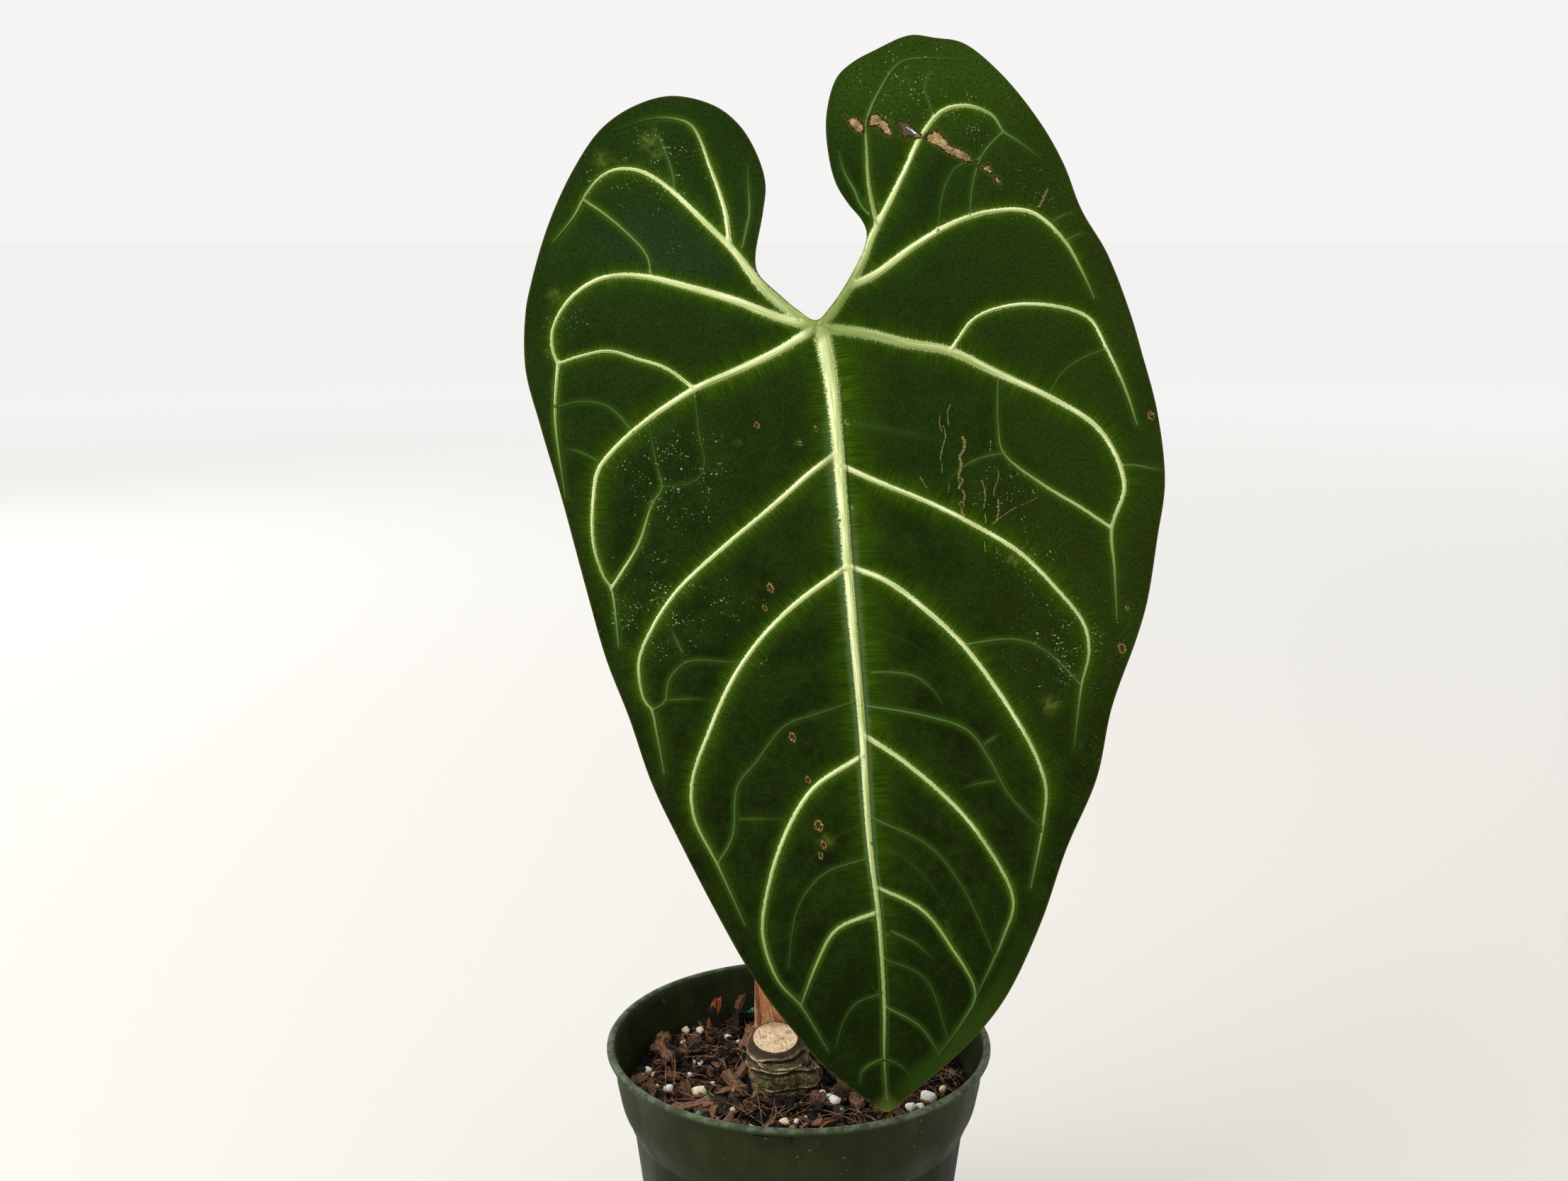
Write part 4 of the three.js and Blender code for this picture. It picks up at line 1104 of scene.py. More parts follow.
    @staticmethod
    def thinned(places: np.ndarray, spacing: float) -> np.ndarray:
        """Keeps one place in each square of a fine grid, the first given first.

        Args:
            places: The places, one row each.
            spacing: The side of a square.

        Returns:
            The places that are kept.
        """
        cells = np.floor(places / spacing).astype(int)
        _, first = np.unique(cells, axis=0, return_index=True)
        return places[np.sort(first)]

    @staticmethod
    def crowded(places: np.ndarray, others: np.ndarray, spacing: float) -> np.ndarray:
        """Tells which places have one of the others close by.

        Args:
            places: The places to judge.
            others: The places that they may crowd.
            spacing: How close is too close.

        Returns:
            True for each crowded place.
        """
        close = np.zeros(len(places), bool)
        order = np.argsort(others[:, 1])
        others = others[order]
        for index, (u, v) in enumerate(places):
            low, high = np.searchsorted(others[:, 1], (v - spacing, v + spacing))
            if high > low:
                gap = others[low:high] - (u, v)
                close[index] = ((gap**2).sum(1) < spacing**2).any()
        return close

    def build(self) -> tuple[bpy.types.Object, bpy.types.Object]:
        """Builds both pieces of the leaf.

        Returns:
            The blade and the net of veins.
        """
        points = self.layout()
        rim_edges = [(i, (i + 1) % len(self.rim)) for i in range(len(self.rim))]
        corners = [Vector(point) for point in points.tolist()]
        flat, _, faces, *_ = delaunay_2d_cdt(corners, rim_edges, [], 1, 1e-5, False)
        uv = np.array([(p.x, p.y) for p in flat])
        triangles = np.array(faces)
        triangles = triangles[inside_ring(self.rim, uv[triangles].mean(1))]
        log.info("leaf layout: %d points, %d triangles", len(uv), len(triangles))
        found = self.read_veins(uv)
        marks = self.read_marks(uv)
        face = self.relief(uv, found.bed)
        skin = face - found.groove
        open_slit = inside_ring(smooth_line(SLIT, 0.7, closed=True), uv[triangles].mean(1))
        blade = self.two_faced("velvet_blade", uv, skin, self.back_of(uv, face, found), face,
                               triangles[~open_slit], found, marks)
        return blade, self.net_of(uv, face, skin, triangles, found, marks)

    def back_of(self, uv: np.ndarray, face: np.ndarray, found: LeafFields) -> np.ndarray:
        """Gives the height of the blade's back, with the ribs that stand out of it.

        Args:
            uv: Places in the leaf's plane.
            face: Height of the face without veins.
            found: The veins' fields at each place.

        Returns:
            The height of each place.
        """
        rim = near_line(self.rim_closed, uv).distance
        thick = self.rim_thickness + (self.thickness - self.rim_thickness) * np.clip(rim / 3, 0, 1)
        return face - np.maximum(found.groove, 0) - thick - found.rib * np.clip(rim / 2, 0, 1)

    def two_faced(self, name: str, uv: np.ndarray, front: np.ndarray, back: np.ndarray, seen: np.ndarray,
                  triangles: np.ndarray, found: LeafFields, marks: dict[str, np.ndarray]) -> bpy.types.Object:
        """Makes a closed sheet with a front, a back and a wall along every open edge.

        Args:
            name: The piece's name.
            uv: Places in the leaf's plane.
            front: Height of the front at each place.
            back: Height of the back at each place.
            seen: Height at which the outline was drawn.
            triangles: Corners of the front's faces.
            found: The veins' fields at each place.
            marks: The marks' fields at each place.

        Returns:
            The piece, with its attributes.
        """
        used = np.unique(triangles)
        renumber = np.full(len(uv), -1)
        renumber[used] = np.arange(len(used))
        triangles = renumber[triangles]
        uv, front, back, seen = uv[used], front[used], back[used], seen[used]
        count = len(used)
        edges = np.vstack([triangles[:, (0, 1)], triangles[:, (1, 2)], triangles[:, (2, 0)]])
        code = edges[:, 0].astype(np.int64) * count + edges[:, 1]
        back_code = edges[:, 1].astype(np.int64) * count + edges[:, 0]
        open_edges = edges[~np.isin(code, back_code)]
        walls = [(b, a, a + count, b + count) for a, b in open_edges.tolist()]
        faces = triangles.tolist() + (triangles[:, ::-1] + count).tolist() + walls
        places = np.vstack([self.place(uv, front, seen), self.place(uv, back, seen)])
        piece = mesh_piece(name, places, faces)
        read = {"trace": np.column_stack([found.along, found.side, found.edge]),
                "lit": np.clip(found.lit, -2, 2), "q": found.q, "tone": found.tone, "halo": found.halo, **marks}
        for key, values in read.items():
            paint(piece, key, np.concatenate([values[used]] * 2))
        paint(piece, "plane", np.vstack([np.column_stack([uv, np.zeros(count)])] * 2))
        paint(piece, "behind", np.repeat([0.0, 1.0], count))
        smooth(piece, 50)
        return piece

    def net_of(self, uv: np.ndarray, face: np.ndarray, skin: np.ndarray, triangles: np.ndarray,
               found: LeafFields, marks: dict[str, np.ndarray]) -> bpy.types.Object:
        """Cuts the raised veins out of the blade's layout and gives them their height.

        Args:
            uv: Places in the leaf's plane.
            face: Height of the face without veins.
            skin: Height of the blade's own surface.
            triangles: Corners of the layout's faces.
            found: The veins' fields.
            marks: The marks' fields.

        Returns:
            The net of veins.
        """
        recipe, kept = self.trimmed(triangles, found.mid - self.net_edge)
        first, second, share = recipe[:, 0].astype(int), recipe[:, 1].astype(int), recipe[:, 2]

        def carried(values: np.ndarray) -> np.ndarray:
            """Reads values at the new corners."""
            weight = share[:, None] if values.ndim == 2 else share
            return values[first] * (1 - weight) + values[second] * weight

        new_uv = carried(uv)
        new_fields = LeafFields(*(carried(getattr(found, entry.name)) for entry in fields(LeafFields)))
        reach = np.hypot(new_uv[:, 0], new_uv[:, 1])
        knot = 1.1 * np.exp(-((reach / 4.5) ** 2)) * np.clip(new_fields.ridge, 0, 1)
        top = carried(skin) + new_fields.ridge + knot - 0.05
        floor = carried(skin) - 0.3
        new_marks = {key: carried(values) for key, values in marks.items()}
        return self.two_faced("vein_net", new_uv, top, floor, carried(face), kept, new_fields, new_marks)

    @staticmethod
    def trimmed(triangles: np.ndarray, level: np.ndarray) -> tuple[np.ndarray, np.ndarray]:
        """Cuts triangles along the line where level is zero and keeps the side below it.

        Args:
            triangles: Corners of the faces.
            level: A number at each corner.

        Returns:
            How each new corner is made (two old corners and a share), and the kept triangles.
        """
        recipe: list[tuple[int, int, float]] = []
        known: dict[tuple[int, int], int] = {}

        def corner(a: int, b: int) -> int:
            """Numbers the new corner on the edge between two old ones, or at the only one.

            Args:
                a: An old corner.
                b: The other one, or the same.

            Returns:
                The new corner's number.
            """
            key = (min(a, b), max(a, b))
            if key not in known:
                known[key] = len(recipe)
                low, high = key
                share = 0.0 if a == b else level[low] / (level[low] - level[high])
                recipe.append((low, high, share))
            return known[key]

        below = level < 0
        counts = below[triangles].sum(1)
        kept = [tuple(corner(i, i) for i in tri) for tri in triangles[counts == 3].tolist()]
        for tri in triangles[(counts == 1) | (counts == 2)].tolist():
            ring = []
            for a, b in zip(tri, tri[1:] + tri[:1]):
                if below[a]:
                    ring.append(corner(a, a))
                if below[a] != below[b]:
                    ring.append(corner(a, b))
            kept.extend((ring[0], ring[i], ring[i + 1]) for i in range(1, len(ring) - 1))
        return np.array(recipe), np.array(kept)

    def read_marks(self, uv: np.ndarray) -> dict[str, np.ndarray]:
        """Measures places against the rim, scars, scratches, spots and speckled patches.

        Args:
            uv: Places in the leaf's plane.

        Returns:
            The fields by the attribute names that the finish reads.
        """
        scar, scratch, spot = (np.full(len(uv), 6.0) for _ in range(3))
        specks, yellow = np.zeros(len(uv)), np.zeros(len(uv))
        for ring in SCARS:
            edge = smooth_line(ring, 0.5, closed=True)
            distance = near_line(np.vstack([edge, edge[:1]]), uv).distance
            scar = np.minimum(scar, np.where(inside_ring(edge, uv), -distance, distance))
        for line in SCRATCHES:
            distance = near_line(smooth_line(line.path, 0.7), uv).distance / (0.5 * line.width)
            scratch = np.minimum(scratch, distance)
        for u, v, radius in BROWN_SPOTS:
            du, dv = uv[:, 0] - u, uv[:, 1] - v
            spot = np.minimum(spot, np.hypot(1.5 * du + 0.4 * dv, dv) / radius)
        for u, v, reach, strength in SPECK_FIELDS:
            away = np.hypot(uv[:, 0] - u, uv[:, 1] - v) / reach
            specks = np.maximum(specks, strength * np.exp(-(away**2)))
        for u, v, reach in YELLOW_PATCHES:
            yellow = np.maximum(yellow, np.exp(-((uv[:, 0] - u) ** 2 + (uv[:, 1] - v) ** 2) / reach**2))
        middle = near_line(self.lines[0], uv)
        half = 0.5 * spaced(middle.along / middle.along.max(), MIDRIB.widths)
        return {
            "rim": np.minimum(near_line(self.rim_closed, uv).distance, 20.0),
            "scar": scar, "scratch": scratch, "spot": spot, "specks": specks, "yellow": yellow,
            "middle": np.clip(-middle.side * middle.distance / half, -9, 9),
        }


class LeafFinish:
    """The colours of the leaf: one shared group for the blade and its veins."""

    def __init__(self, effects: SharedEffects) -> None:
        """Builds the shared group.

        Args:
            effects: The groups that all materials share.
        """
        self.effects = effects
        self.graph, _, leave = shared_group(
            "leaf colours", {}, {"Colour": "Color", "Roughness": "Float", "Height": "Float"}, effects)
        self.plane = self.graph.attribute("plane", "Vector")
        self.u, self.v, _ = self.plane.parts()
        self.along, self.side, self.edge = self.graph.attribute("trace", "Vector").parts()
        for label, value in zip(("Colour", "Roughness", "Height"), self._results()):
            self.graph.feed(leave.inputs[label], value)

    def _lengthwise(self, along: float, side: float, detail: float = 2, rough: float = 0.55) -> Signal:
        """Gives noise that is drawn out along the nearest vein or across it.

        Args:
            along: Its scale along the vein, per millimetre.
            side: Its scale away from the vein.
            detail: The noise's detail.
            rough: The noise's roughness.

        Returns:
            The noise.
        """
        place = self.graph.add("CombineXYZ", 0, {0: self.along * along, 1: self.side * side})
        return self.graph.noise(place, 1, detail, rough)

    def _panels(self) -> Signal:
        """Colours the dark panels, with their bright combed halo beside the veins and a painted sheen on the
        left lobe.

        Returns:
            The colour.
        """
        graph, plane, u, v = self.graph, self.plane, self.u, self.v
        base = graph.mottle(plane, 0.06, rgb(18, 26, 5), rgb(31, 46, 8))
        base = base.coat(v.ramp(-180, 60, 0, 0.6), 33, 55, 15)
        base = base.coat(v.ramp(-210, -290, 0, 0.7), 13, 23, 3)
        # Painted sheen: a bluish patch on the left lobe's panels
        du, dv = (u + 58) / 34, (v - 32) / 20
        base = base.coat((du * du + dv * dv).ramp(1.3, 0, 0, 0.35), 38, 56, 38)
        base = base.coat(v.ramp(55, 100) * u.ramp(-10, 20) * 0.45, 58, 86, 16)
        base = base.coat(u.ramp(35, 110) * v.ramp(-210, -90) * 0.55, 44, 58, 12)
        grain = graph.noise(plane, 0.95, 5, 0.78)
        base = base.coat(grain.ramp(0.5, 0.36, 0, 0.75), 14, 21, 4)
        base = base.coat(grain.ramp(0.53, 0.7, 0, 0.34), 56, 76, 26)
        cells = graph.cells(plane, 0.1275, "DISTANCE_TO_EDGE")
        base = base.coat(cells.ramp(0.07, 0, 0, 0.05), 56, 86, 18)
        lines = self._lengthwise(1.5, 0.09)
        patches = graph.noise(plane, 0.1)
        strength = graph.attribute("halo") * (lines.ramp(0.3, 0.7, 0.62, 1) + patches.ramp(0.3, 0.7, -0.2, 0.2))
        strength = strength * v.ramp(-285, -150, 0.3, 1)
        soft = base.coat(strength.ramp(0.02, 0.5), 46, 70, 5)
        soft = soft.coat(strength.ramp(0.45, 0.95), 70, 96, 10)
        soft = soft.coat(lines.ramp(0.54, 0.36, 0, 0.42) * strength.ramp(0.06, 0.3), 22, 38, 3)
        soft = soft.coat(grain.ramp(0.5, 0.38, 0, 0.35), 22, 36, 4)
        near = self.edge.ramp(1.6, 0) * graph.attribute("tone").ramp(0.35, 0.95)
        return soft.coat(near * lines.ramp(0.3, 0.7, 0.25, 0.65), 98, 122, 38)

    def _veins(self, under: Signal) -> Signal:
        """Lays the pale veins over the panels, with feathered edges, lengthwise streaks and painted light and
        shade.

        Args:
            under: The colour of the panels.

        Returns:
            The colour.
        """
        graph, v, edge = self.graph, self.v, self.edge
        q, lit, middle = (graph.attribute(name) for name in ("q", "lit", "middle"))
        tone = graph.attribute("tone") * v.ramp(-270, -60, 0.84, 1)
        under = under.coat(edge.ramp(1.9, -0.3) * tone.ramp(0.04, 0.45, 0, 0.55), 54, 82, 18)
        under = under.coat(edge.ramp(0.12, -0.3) * tone.ramp(0.04, 0.5, 0, 0.7), 88, 114, 64)
        feather = self._lengthwise(2.6, 0.7, 3, 0.65)
        rim = q + feather.ramp(0.25, 0.75, -0.34, 0.34) + tone.ramp(0.66, 0.36, 0, 0.4)
        shows = rim.ramp(1.16, 0.72) * tone.ramp(0.26, 0.6)
        body = graph.mix(tone.ramp(0.3, 0.6), rgb(92, 116, 70), rgb(132, 152, 82))
        body = body.coat(tone.ramp(0.6, 0.9), 190, 203, 128)
        # Painted highlight on the side of each vein that faces the light, and painted shade on the side away
        # from it
        bright = lit + self._lengthwise(0.05, 1.9).ramp(0.3, 0.7, -0.5, 0.5)
        body = body.coat(bright.ramp(-0.15, 0.5) * tone.ramp(0.55, 0.95) * 0.9, 240, 246, 196)
        body = body.coat(bright.ramp(-0.15, -0.85, 0, 0.8), 124, 142, 62)
        body = body.coat(q.ramp(0.62, 0.9) * tone.ramp(0.6, 0.8) * 0.45, 214, 224, 158)
        knot = abs(self.u + 1) + abs(v + 1)
        body = body.coat(knot.ramp(9, 4, 0, 0.75), 126, 144, 66)
        veined = graph.mix(shows, under, body)
        # Painted shade in the furrows beside the midrib: on its right side, and lower down on its left side
        right = middle.ramp(0.95, 1.15) * middle.ramp(1.6, 1.3) * v.ramp(-4, -70)
        left = middle.ramp(-0.95, -1.15) * middle.ramp(-1.6, -1.3) * v.ramp(-90, -150)
        veined = veined.coat((right + left) * 0.7, 28, 42, 4)
        # Painted sheen: a whitish veil on the panels just beside the lower midrib
        gap = abs(middle)
        low = (v + middle.ramp(-0.5, 0.5, -40, 0)).ramp(-60, -100)
        painted_sheen = gap.ramp(0.9, 1.2) * gap.ramp(3, 1.1) * (low * feather.ramp(0.3, 0.7, 0.1, 0.7))
        return veined.coat(painted_sheen * v.ramp(-255, -190), 98, 120, 78)

    def _marks(self, under: Signal) -> Signal:
        """Adds rim line, a painted highlight at the tip, mineral specks, scars, scratches and ringed spots.

        Args:
            under: The colour of the panels and veins.

        Returns:
            The colour.
        """
        graph, plane, u, v = self.graph, self.plane, self.u, self.v
        rim = graph.attribute("rim")
        band = rim.ramp(11, 4) * (v.ramp(-225, -275) * u.ramp(26, 40))
        colour = under.coat(band * 0.45, 50, 74, 18)
        ragged = rim + graph.noise(plane, 0.4).ramp(0.3, 0.7, -0.3, 0.3)
        colour = colour.coat(ragged.ramp(0.8, 0.35, 0, 0.5), 70, 58, 26)
        # Painted highlight: the very tip paler, where its edge catches the light
        tip = v * -1 + abs(u - 27) * -0.9
        colour = colour.coat(tip.ramp(300, 311, 0, 0.4), 116, 132, 56)
        dense = graph.attribute("specks") * graph.noise(plane, 0.15).ramp(0.4, 0.6)
        swirl = graph.stretch(graph.noise(plane, 0.5, 2, 0.5, "Color"), (12, 12, 0))
        threads = graph.cells(graph.mix(0.12, plane, swirl), 0.62, "DISTANCE_TO_EDGE").ramp(0.13, 0.07)
        pieces = (graph.noise(plane, 1, 2) + dense * 0.12).ramp(0.69, 0.72)
        dots = (graph.noise(plane, 1.7, 1) + dense * 0.14).ramp(0.86, 0.89)
        scribble = graph.math("MAXIMUM", threads * pieces * dense.ramp(0.15, 0.5), dots)
        colour = colour.coat(scribble * 0.85, 158, 176, 134)
        yellow = graph.attribute("yellow") * graph.noise(plane, 0.35).ramp(0.3, 0.65)
        colour = colour.coat(yellow * 0.6, 104, 122, 44)
        uneven = graph.noise(plane, 1.3).ramp(0.3, 0.7, -0.45, 0.45)
        scar = graph.attribute("scar") + 0.35 + uneven
        colour = colour.coat(scar.ramp(1.7, 0.5), 62, 72, 20)
        colour = colour.coat(scar.ramp(0.7, 0.35), 34, 26, 12)
        slit = abs(u - 34.6) + abs(v - 78)
        tan = graph.mottle(plane, 0.35, rgb(100, 80, 50), rgb(184, 158, 110)).coat(slit.ramp(7, 6), 86, 76, 60)
        colour = graph.mix(scar.ramp(0.1, -0.25), colour, tan)
        broken = graph.noise(plane, 1.7, 3, 0.75).ramp(0.44, 0.52)
        scratch = (graph.attribute("scratch") + uneven).ramp(1.2, 0.5) * broken
        colour = colour.coat(scratch * 0.85, 150, 138, 80)
        spot = graph.attribute("spot") + uneven * 0.8
        colour = colour.coat(spot.ramp(2.1, 1.2, 0, 0.8), 40, 48, 10)
        colour = colour.coat(spot.ramp(1.2, 1.08), 168, 140, 84)
        return colour.coat(spot.ramp(1, 0.86), 52, 42, 18)

    def _results(self) -> tuple[Signal, Signal, Signal]:
        """Joins the face and the back of the leaf.

        Returns:
            Colour, roughness and height.
        """
        graph, plane = self.graph, self.plane
        q, tone = graph.attribute("q"), graph.attribute("tone")
        front = self._marks(self._veins(self._panels()))
        back = graph.mottle(plane, 0.07, rgb(74, 96, 46), rgb(86, 109, 55))
        back = back.coat(q.ramp(1.5, 0.9) * tone.ramp(0.1, 0.8), 150, 168, 98)
        roughness = (q.ramp(1.1, 0.8) * tone).ramp(0, 1, 0.68, 0.5)
        nap = graph.noise(plane, 2.6, 4, 0.6) * 0.5 + graph.cells(plane, 1.4) * 0.3
        height = nap + graph.attribute("halo") * (self._lengthwise(1.1, 0.06) * 1.4)
        return graph.mix(graph.attribute("behind"), front, back), roughness, height

    def dressed(self, surface: Surface) -> bpy.types.Material:
        """Makes a material of the shared group.

        Args:
            surface: The constants of the blade or of the veins.

        Returns:
            The material.
        """
        graph = surface.start(self.effects)
        return surface.close(*graph.add("Group", node_tree=self.graph.tree).outputs())

    def velvet(self) -> bpy.types.Material:
        """Makes the blade's material, with the soft sheen of velvet."""
        return self.dressed(Surface("leaf_velvet", specular=0.015, sheen=0.02, sheen_roughness=0.35,
                                    sheen_tint=rgb(190, 215, 200), bump=0.3))

    def vein(self) -> bpy.types.Material:
        """Makes the veins' material, slightly glossier."""
        return self.dressed(Surface("leaf_vein", specular=0.06, bump=0.25))


# ---------------------------------------------------------------- stem, stalk and sheath


@dataclass
class Stub:
    """The cut-back stem with its ringed scars. Lengths in millimetres."""

    effects: SharedEffects
    soil: float = 125.0
    top: float = 145.5
    foot: float = 87.0
    centre: Point = (-7.0, -1.0)
    tilt: float = math.radians(15)
    profile: tuple[Point, ...] = (
        (87, 10.5), (101, 11.5), (115, 12), (123, 13.2), (127, 13), (128, 13.7), (132, 13.2), (133, 13.9),
        (137, 13.1), (138, 13.6), (141, 12.6), (143, 11.8), (143.8, 10.8), (145.5, 10.0))
    sides: int = 96
    scar_rings: tuple[float, ...] = (128.4, 136.2, 138.9, 141.7)
    swelling: Place = (3.2, -7.0, 130.5)
    swelling_radii: Place = (5.4, 5.6, 7.3)
    shoulder: Place = (-5.0, 18.0, 94.5)
    shoulder_radii: Place = (8.6, 8.8, 8.0)
    grain: float = 0.5
    face_radius: float = 10.2
    face_edge: float = 9.7

    def build(self) -> bpy.types.Object:
        """Builds the stub with its shoulder and swelling in one mesh.

        Returns:
            The piece, with the attribute that tells the cut face from the bark.
        """
        heights, radii = zip(*self.profile)
        rings = [(float(np.interp(z, heights, radii)), float(z))
                 for z in (*np.arange(self.foot, self.soil - 6, 3.0), *np.arange(self.soil - 6, self.top, 0.5))]
        rings += [(10.0, self.top), (8.6, self.top - 0.05), (6.6, self.top - 0.2), (4.6, self.top - 0.3),
                  (2.4, self.top - 0.25), (0.6, self.top - 0.2)]
        body = turned_body("cut_stem", rings, self.sides)
        self.lean(body)
        self.add_lump(body, "side_swelling", self.swelling, self.swelling_radii)
        self.add_lump(body, "shoulder", self.shoulder, self.shoulder_radii)
        self.carve(body)
        smooth(body, 55)
        return body

    def lean(self, body: bpy.types.Object) -> None:
        """Moves the rings sideways and slants the cut face.

        Args:
            body: The stem as it was turned.
        """
        places = corners_of(body) / MM
        rise = np.clip((places[:, 2] - self.soil) / (self.top - self.soil), 0, 1)
        turn = np.arctan2(places[:, 1], places[:, 0])
        reach = np.hypot(places[:, 0], places[:, 1])
        reach = reach + 0.35 * np.sin(3 * turn + places[:, 2]) * np.clip(reach / 9, 0, 1)
        places[:, 0] = self.centre[0] - 3 * rise + reach * np.cos(turn)
        y = reach * np.sin(turn)
        places[:, 1] = self.centre[1] - rise + y
        places[:, 2] += y * math.tan(self.tilt) * rise**2
        put_corners(body, places * MM)

    @staticmethod
    def add_lump(body: bpy.types.Object, name: str, centre: Sequence[float], radii: Sequence[float]) -> None:
        """Joins a rounded lump to the stem with a union.

        Args:
            body: The stem.
            name: The lump's name.
            centre: Its middle.
            radii: Its half sizes.
        """
        deselect_all()
        bpy.ops.mesh.primitive_ico_sphere_add(
            subdivisions=4, radius=MM, location=[value * MM for value in centre], scale=radii)
        lump = named(name)
        apply_place(lump)
        apply_modifier(body, "BOOLEAN", operation="UNION", object=lump, solver="EXACT")
        bpy.data.objects.remove(lump)

    def carve(self, body: bpy.types.Object) -> None:
        """Remeshes the stem evenly, then carves scars, folds and flakes into the bark.

        Args:
            body: The stem with its lumps.
        """
        apply_modifier(body, "REMESH", mode="VOXEL", voxel_size=self.grain * MM)
        apply_modifier(body, "SMOOTH", factor=0.5, iterations=2)
        places = corners_of(body) / MM
        normals = np.array([vertex.normal[:] for vertex in body.data.vertices])
        x, y, z = places.T
        off = np.hypot(x - self.centre[0] + 3, y - self.centre[1] + 1)
        level = z - (y - self.centre[1]) * 0.12
        cut = (z > self.top - 3.2 + (y + 2) * math.tan(self.tilt)) & (off < self.face_radius)
        face = cut & (normals[:, 2] > 0.8)
        push = 0.4 * value_noise(places, 3.2, 1.7) + 0.2 * value_noise(places, 1.1, 5.2)
        turn = np.arctan2(y + 2, x + 9)
        scar = np.full(len(x), 9.0)
        for ring in self.scar_rings:
            wander = 0.8 * np.sin(2 * turn + ring) + 0.35 * np.sin(5 * turn + 3 * ring)
            away = level - ring - wander
            scar = np.where(np.abs(away) < np.abs(scar), away, scar)
            push += 0.6 * np.exp(-((away / 0.45) ** 2)) - 0.7 * np.exp(-(((away + 1.0) / 0.55) ** 2))
        dents = 0.12 * value_noise(places, 0.9, 9.1)
        push_out(body, places, np.where(face, dents, push))
        paint(body, "cut", np.clip((self.face_edge - off) / 0.7, 0, 1) * face)
        paint(body, "ring", scar)
        paint(body, "level", level)

    def finish(self) -> bpy.types.Material:
        """Makes the bark with its pale scar lines, and the cream cut face.

        Returns:
            The material.
        """
        surface = Surface("stem_bark", bump=0.7, specular=0.3)
        graph = surface.start(self.effects)
        place, level, cut = graph.object_place(), graph.attribute("level"), graph.attribute("cut")
        bark = graph.mottle(place, 230, rgb(24, 18, 11), rgb(112, 94, 62))
        olive = graph.noise(place, 130).ramp(0.46, 0.58) * level.ramp(137, 130, 0.15, 0.8)
        bark = bark.coat(olive, 84, 92, 40)
        flaky = abs(graph.noise(place, 260, 3, 0.6) - 0.5).ramp(0.022, 0.008) * level.ramp(139, 134, 0.1, 0.75)
        bark = bark.coat(flaky, 176, 156, 112)
        ring = graph.attribute("ring") + graph.noise(place, 400).ramp(0.3, 0.7, -0.25, 0.25)
        bark = bark.coat(abs(ring + 1).ramp(1.1, 0.4, 0, 0.9), 18, 13, 8)
        bark = bark.coat(abs(ring).ramp(0.5, 0.18) * graph.noise(place, 240).ramp(0.42, 0.55), 190, 172, 128)
        bark = bark.coat(level.ramp(141.2, 142.4, 0, 0.75), 48, 36, 22)
        wood = graph.mottle(place, 260, rgb(206, 172, 134), rgb(242, 214, 180))
        wood = wood.coat(graph.flecks(place, 760, 0.3, 0.56) * 0.8, 104, 70, 44)
        stain = graph.noise(place, 420, 4) * 0.006 + place.parts()[1]
        wood = wood.coat(stain.ramp(0.0062, 0.0088, 0, 0.6), 140, 104, 76)
        height = graph.noise(place, 900, 4) + graph.noise(place, 300)
        return surface.close(graph.mix(cut.ramp(0.1, 0.6), bark, wood), cut.ramp(0, 1, 0.85, 0.7), height)


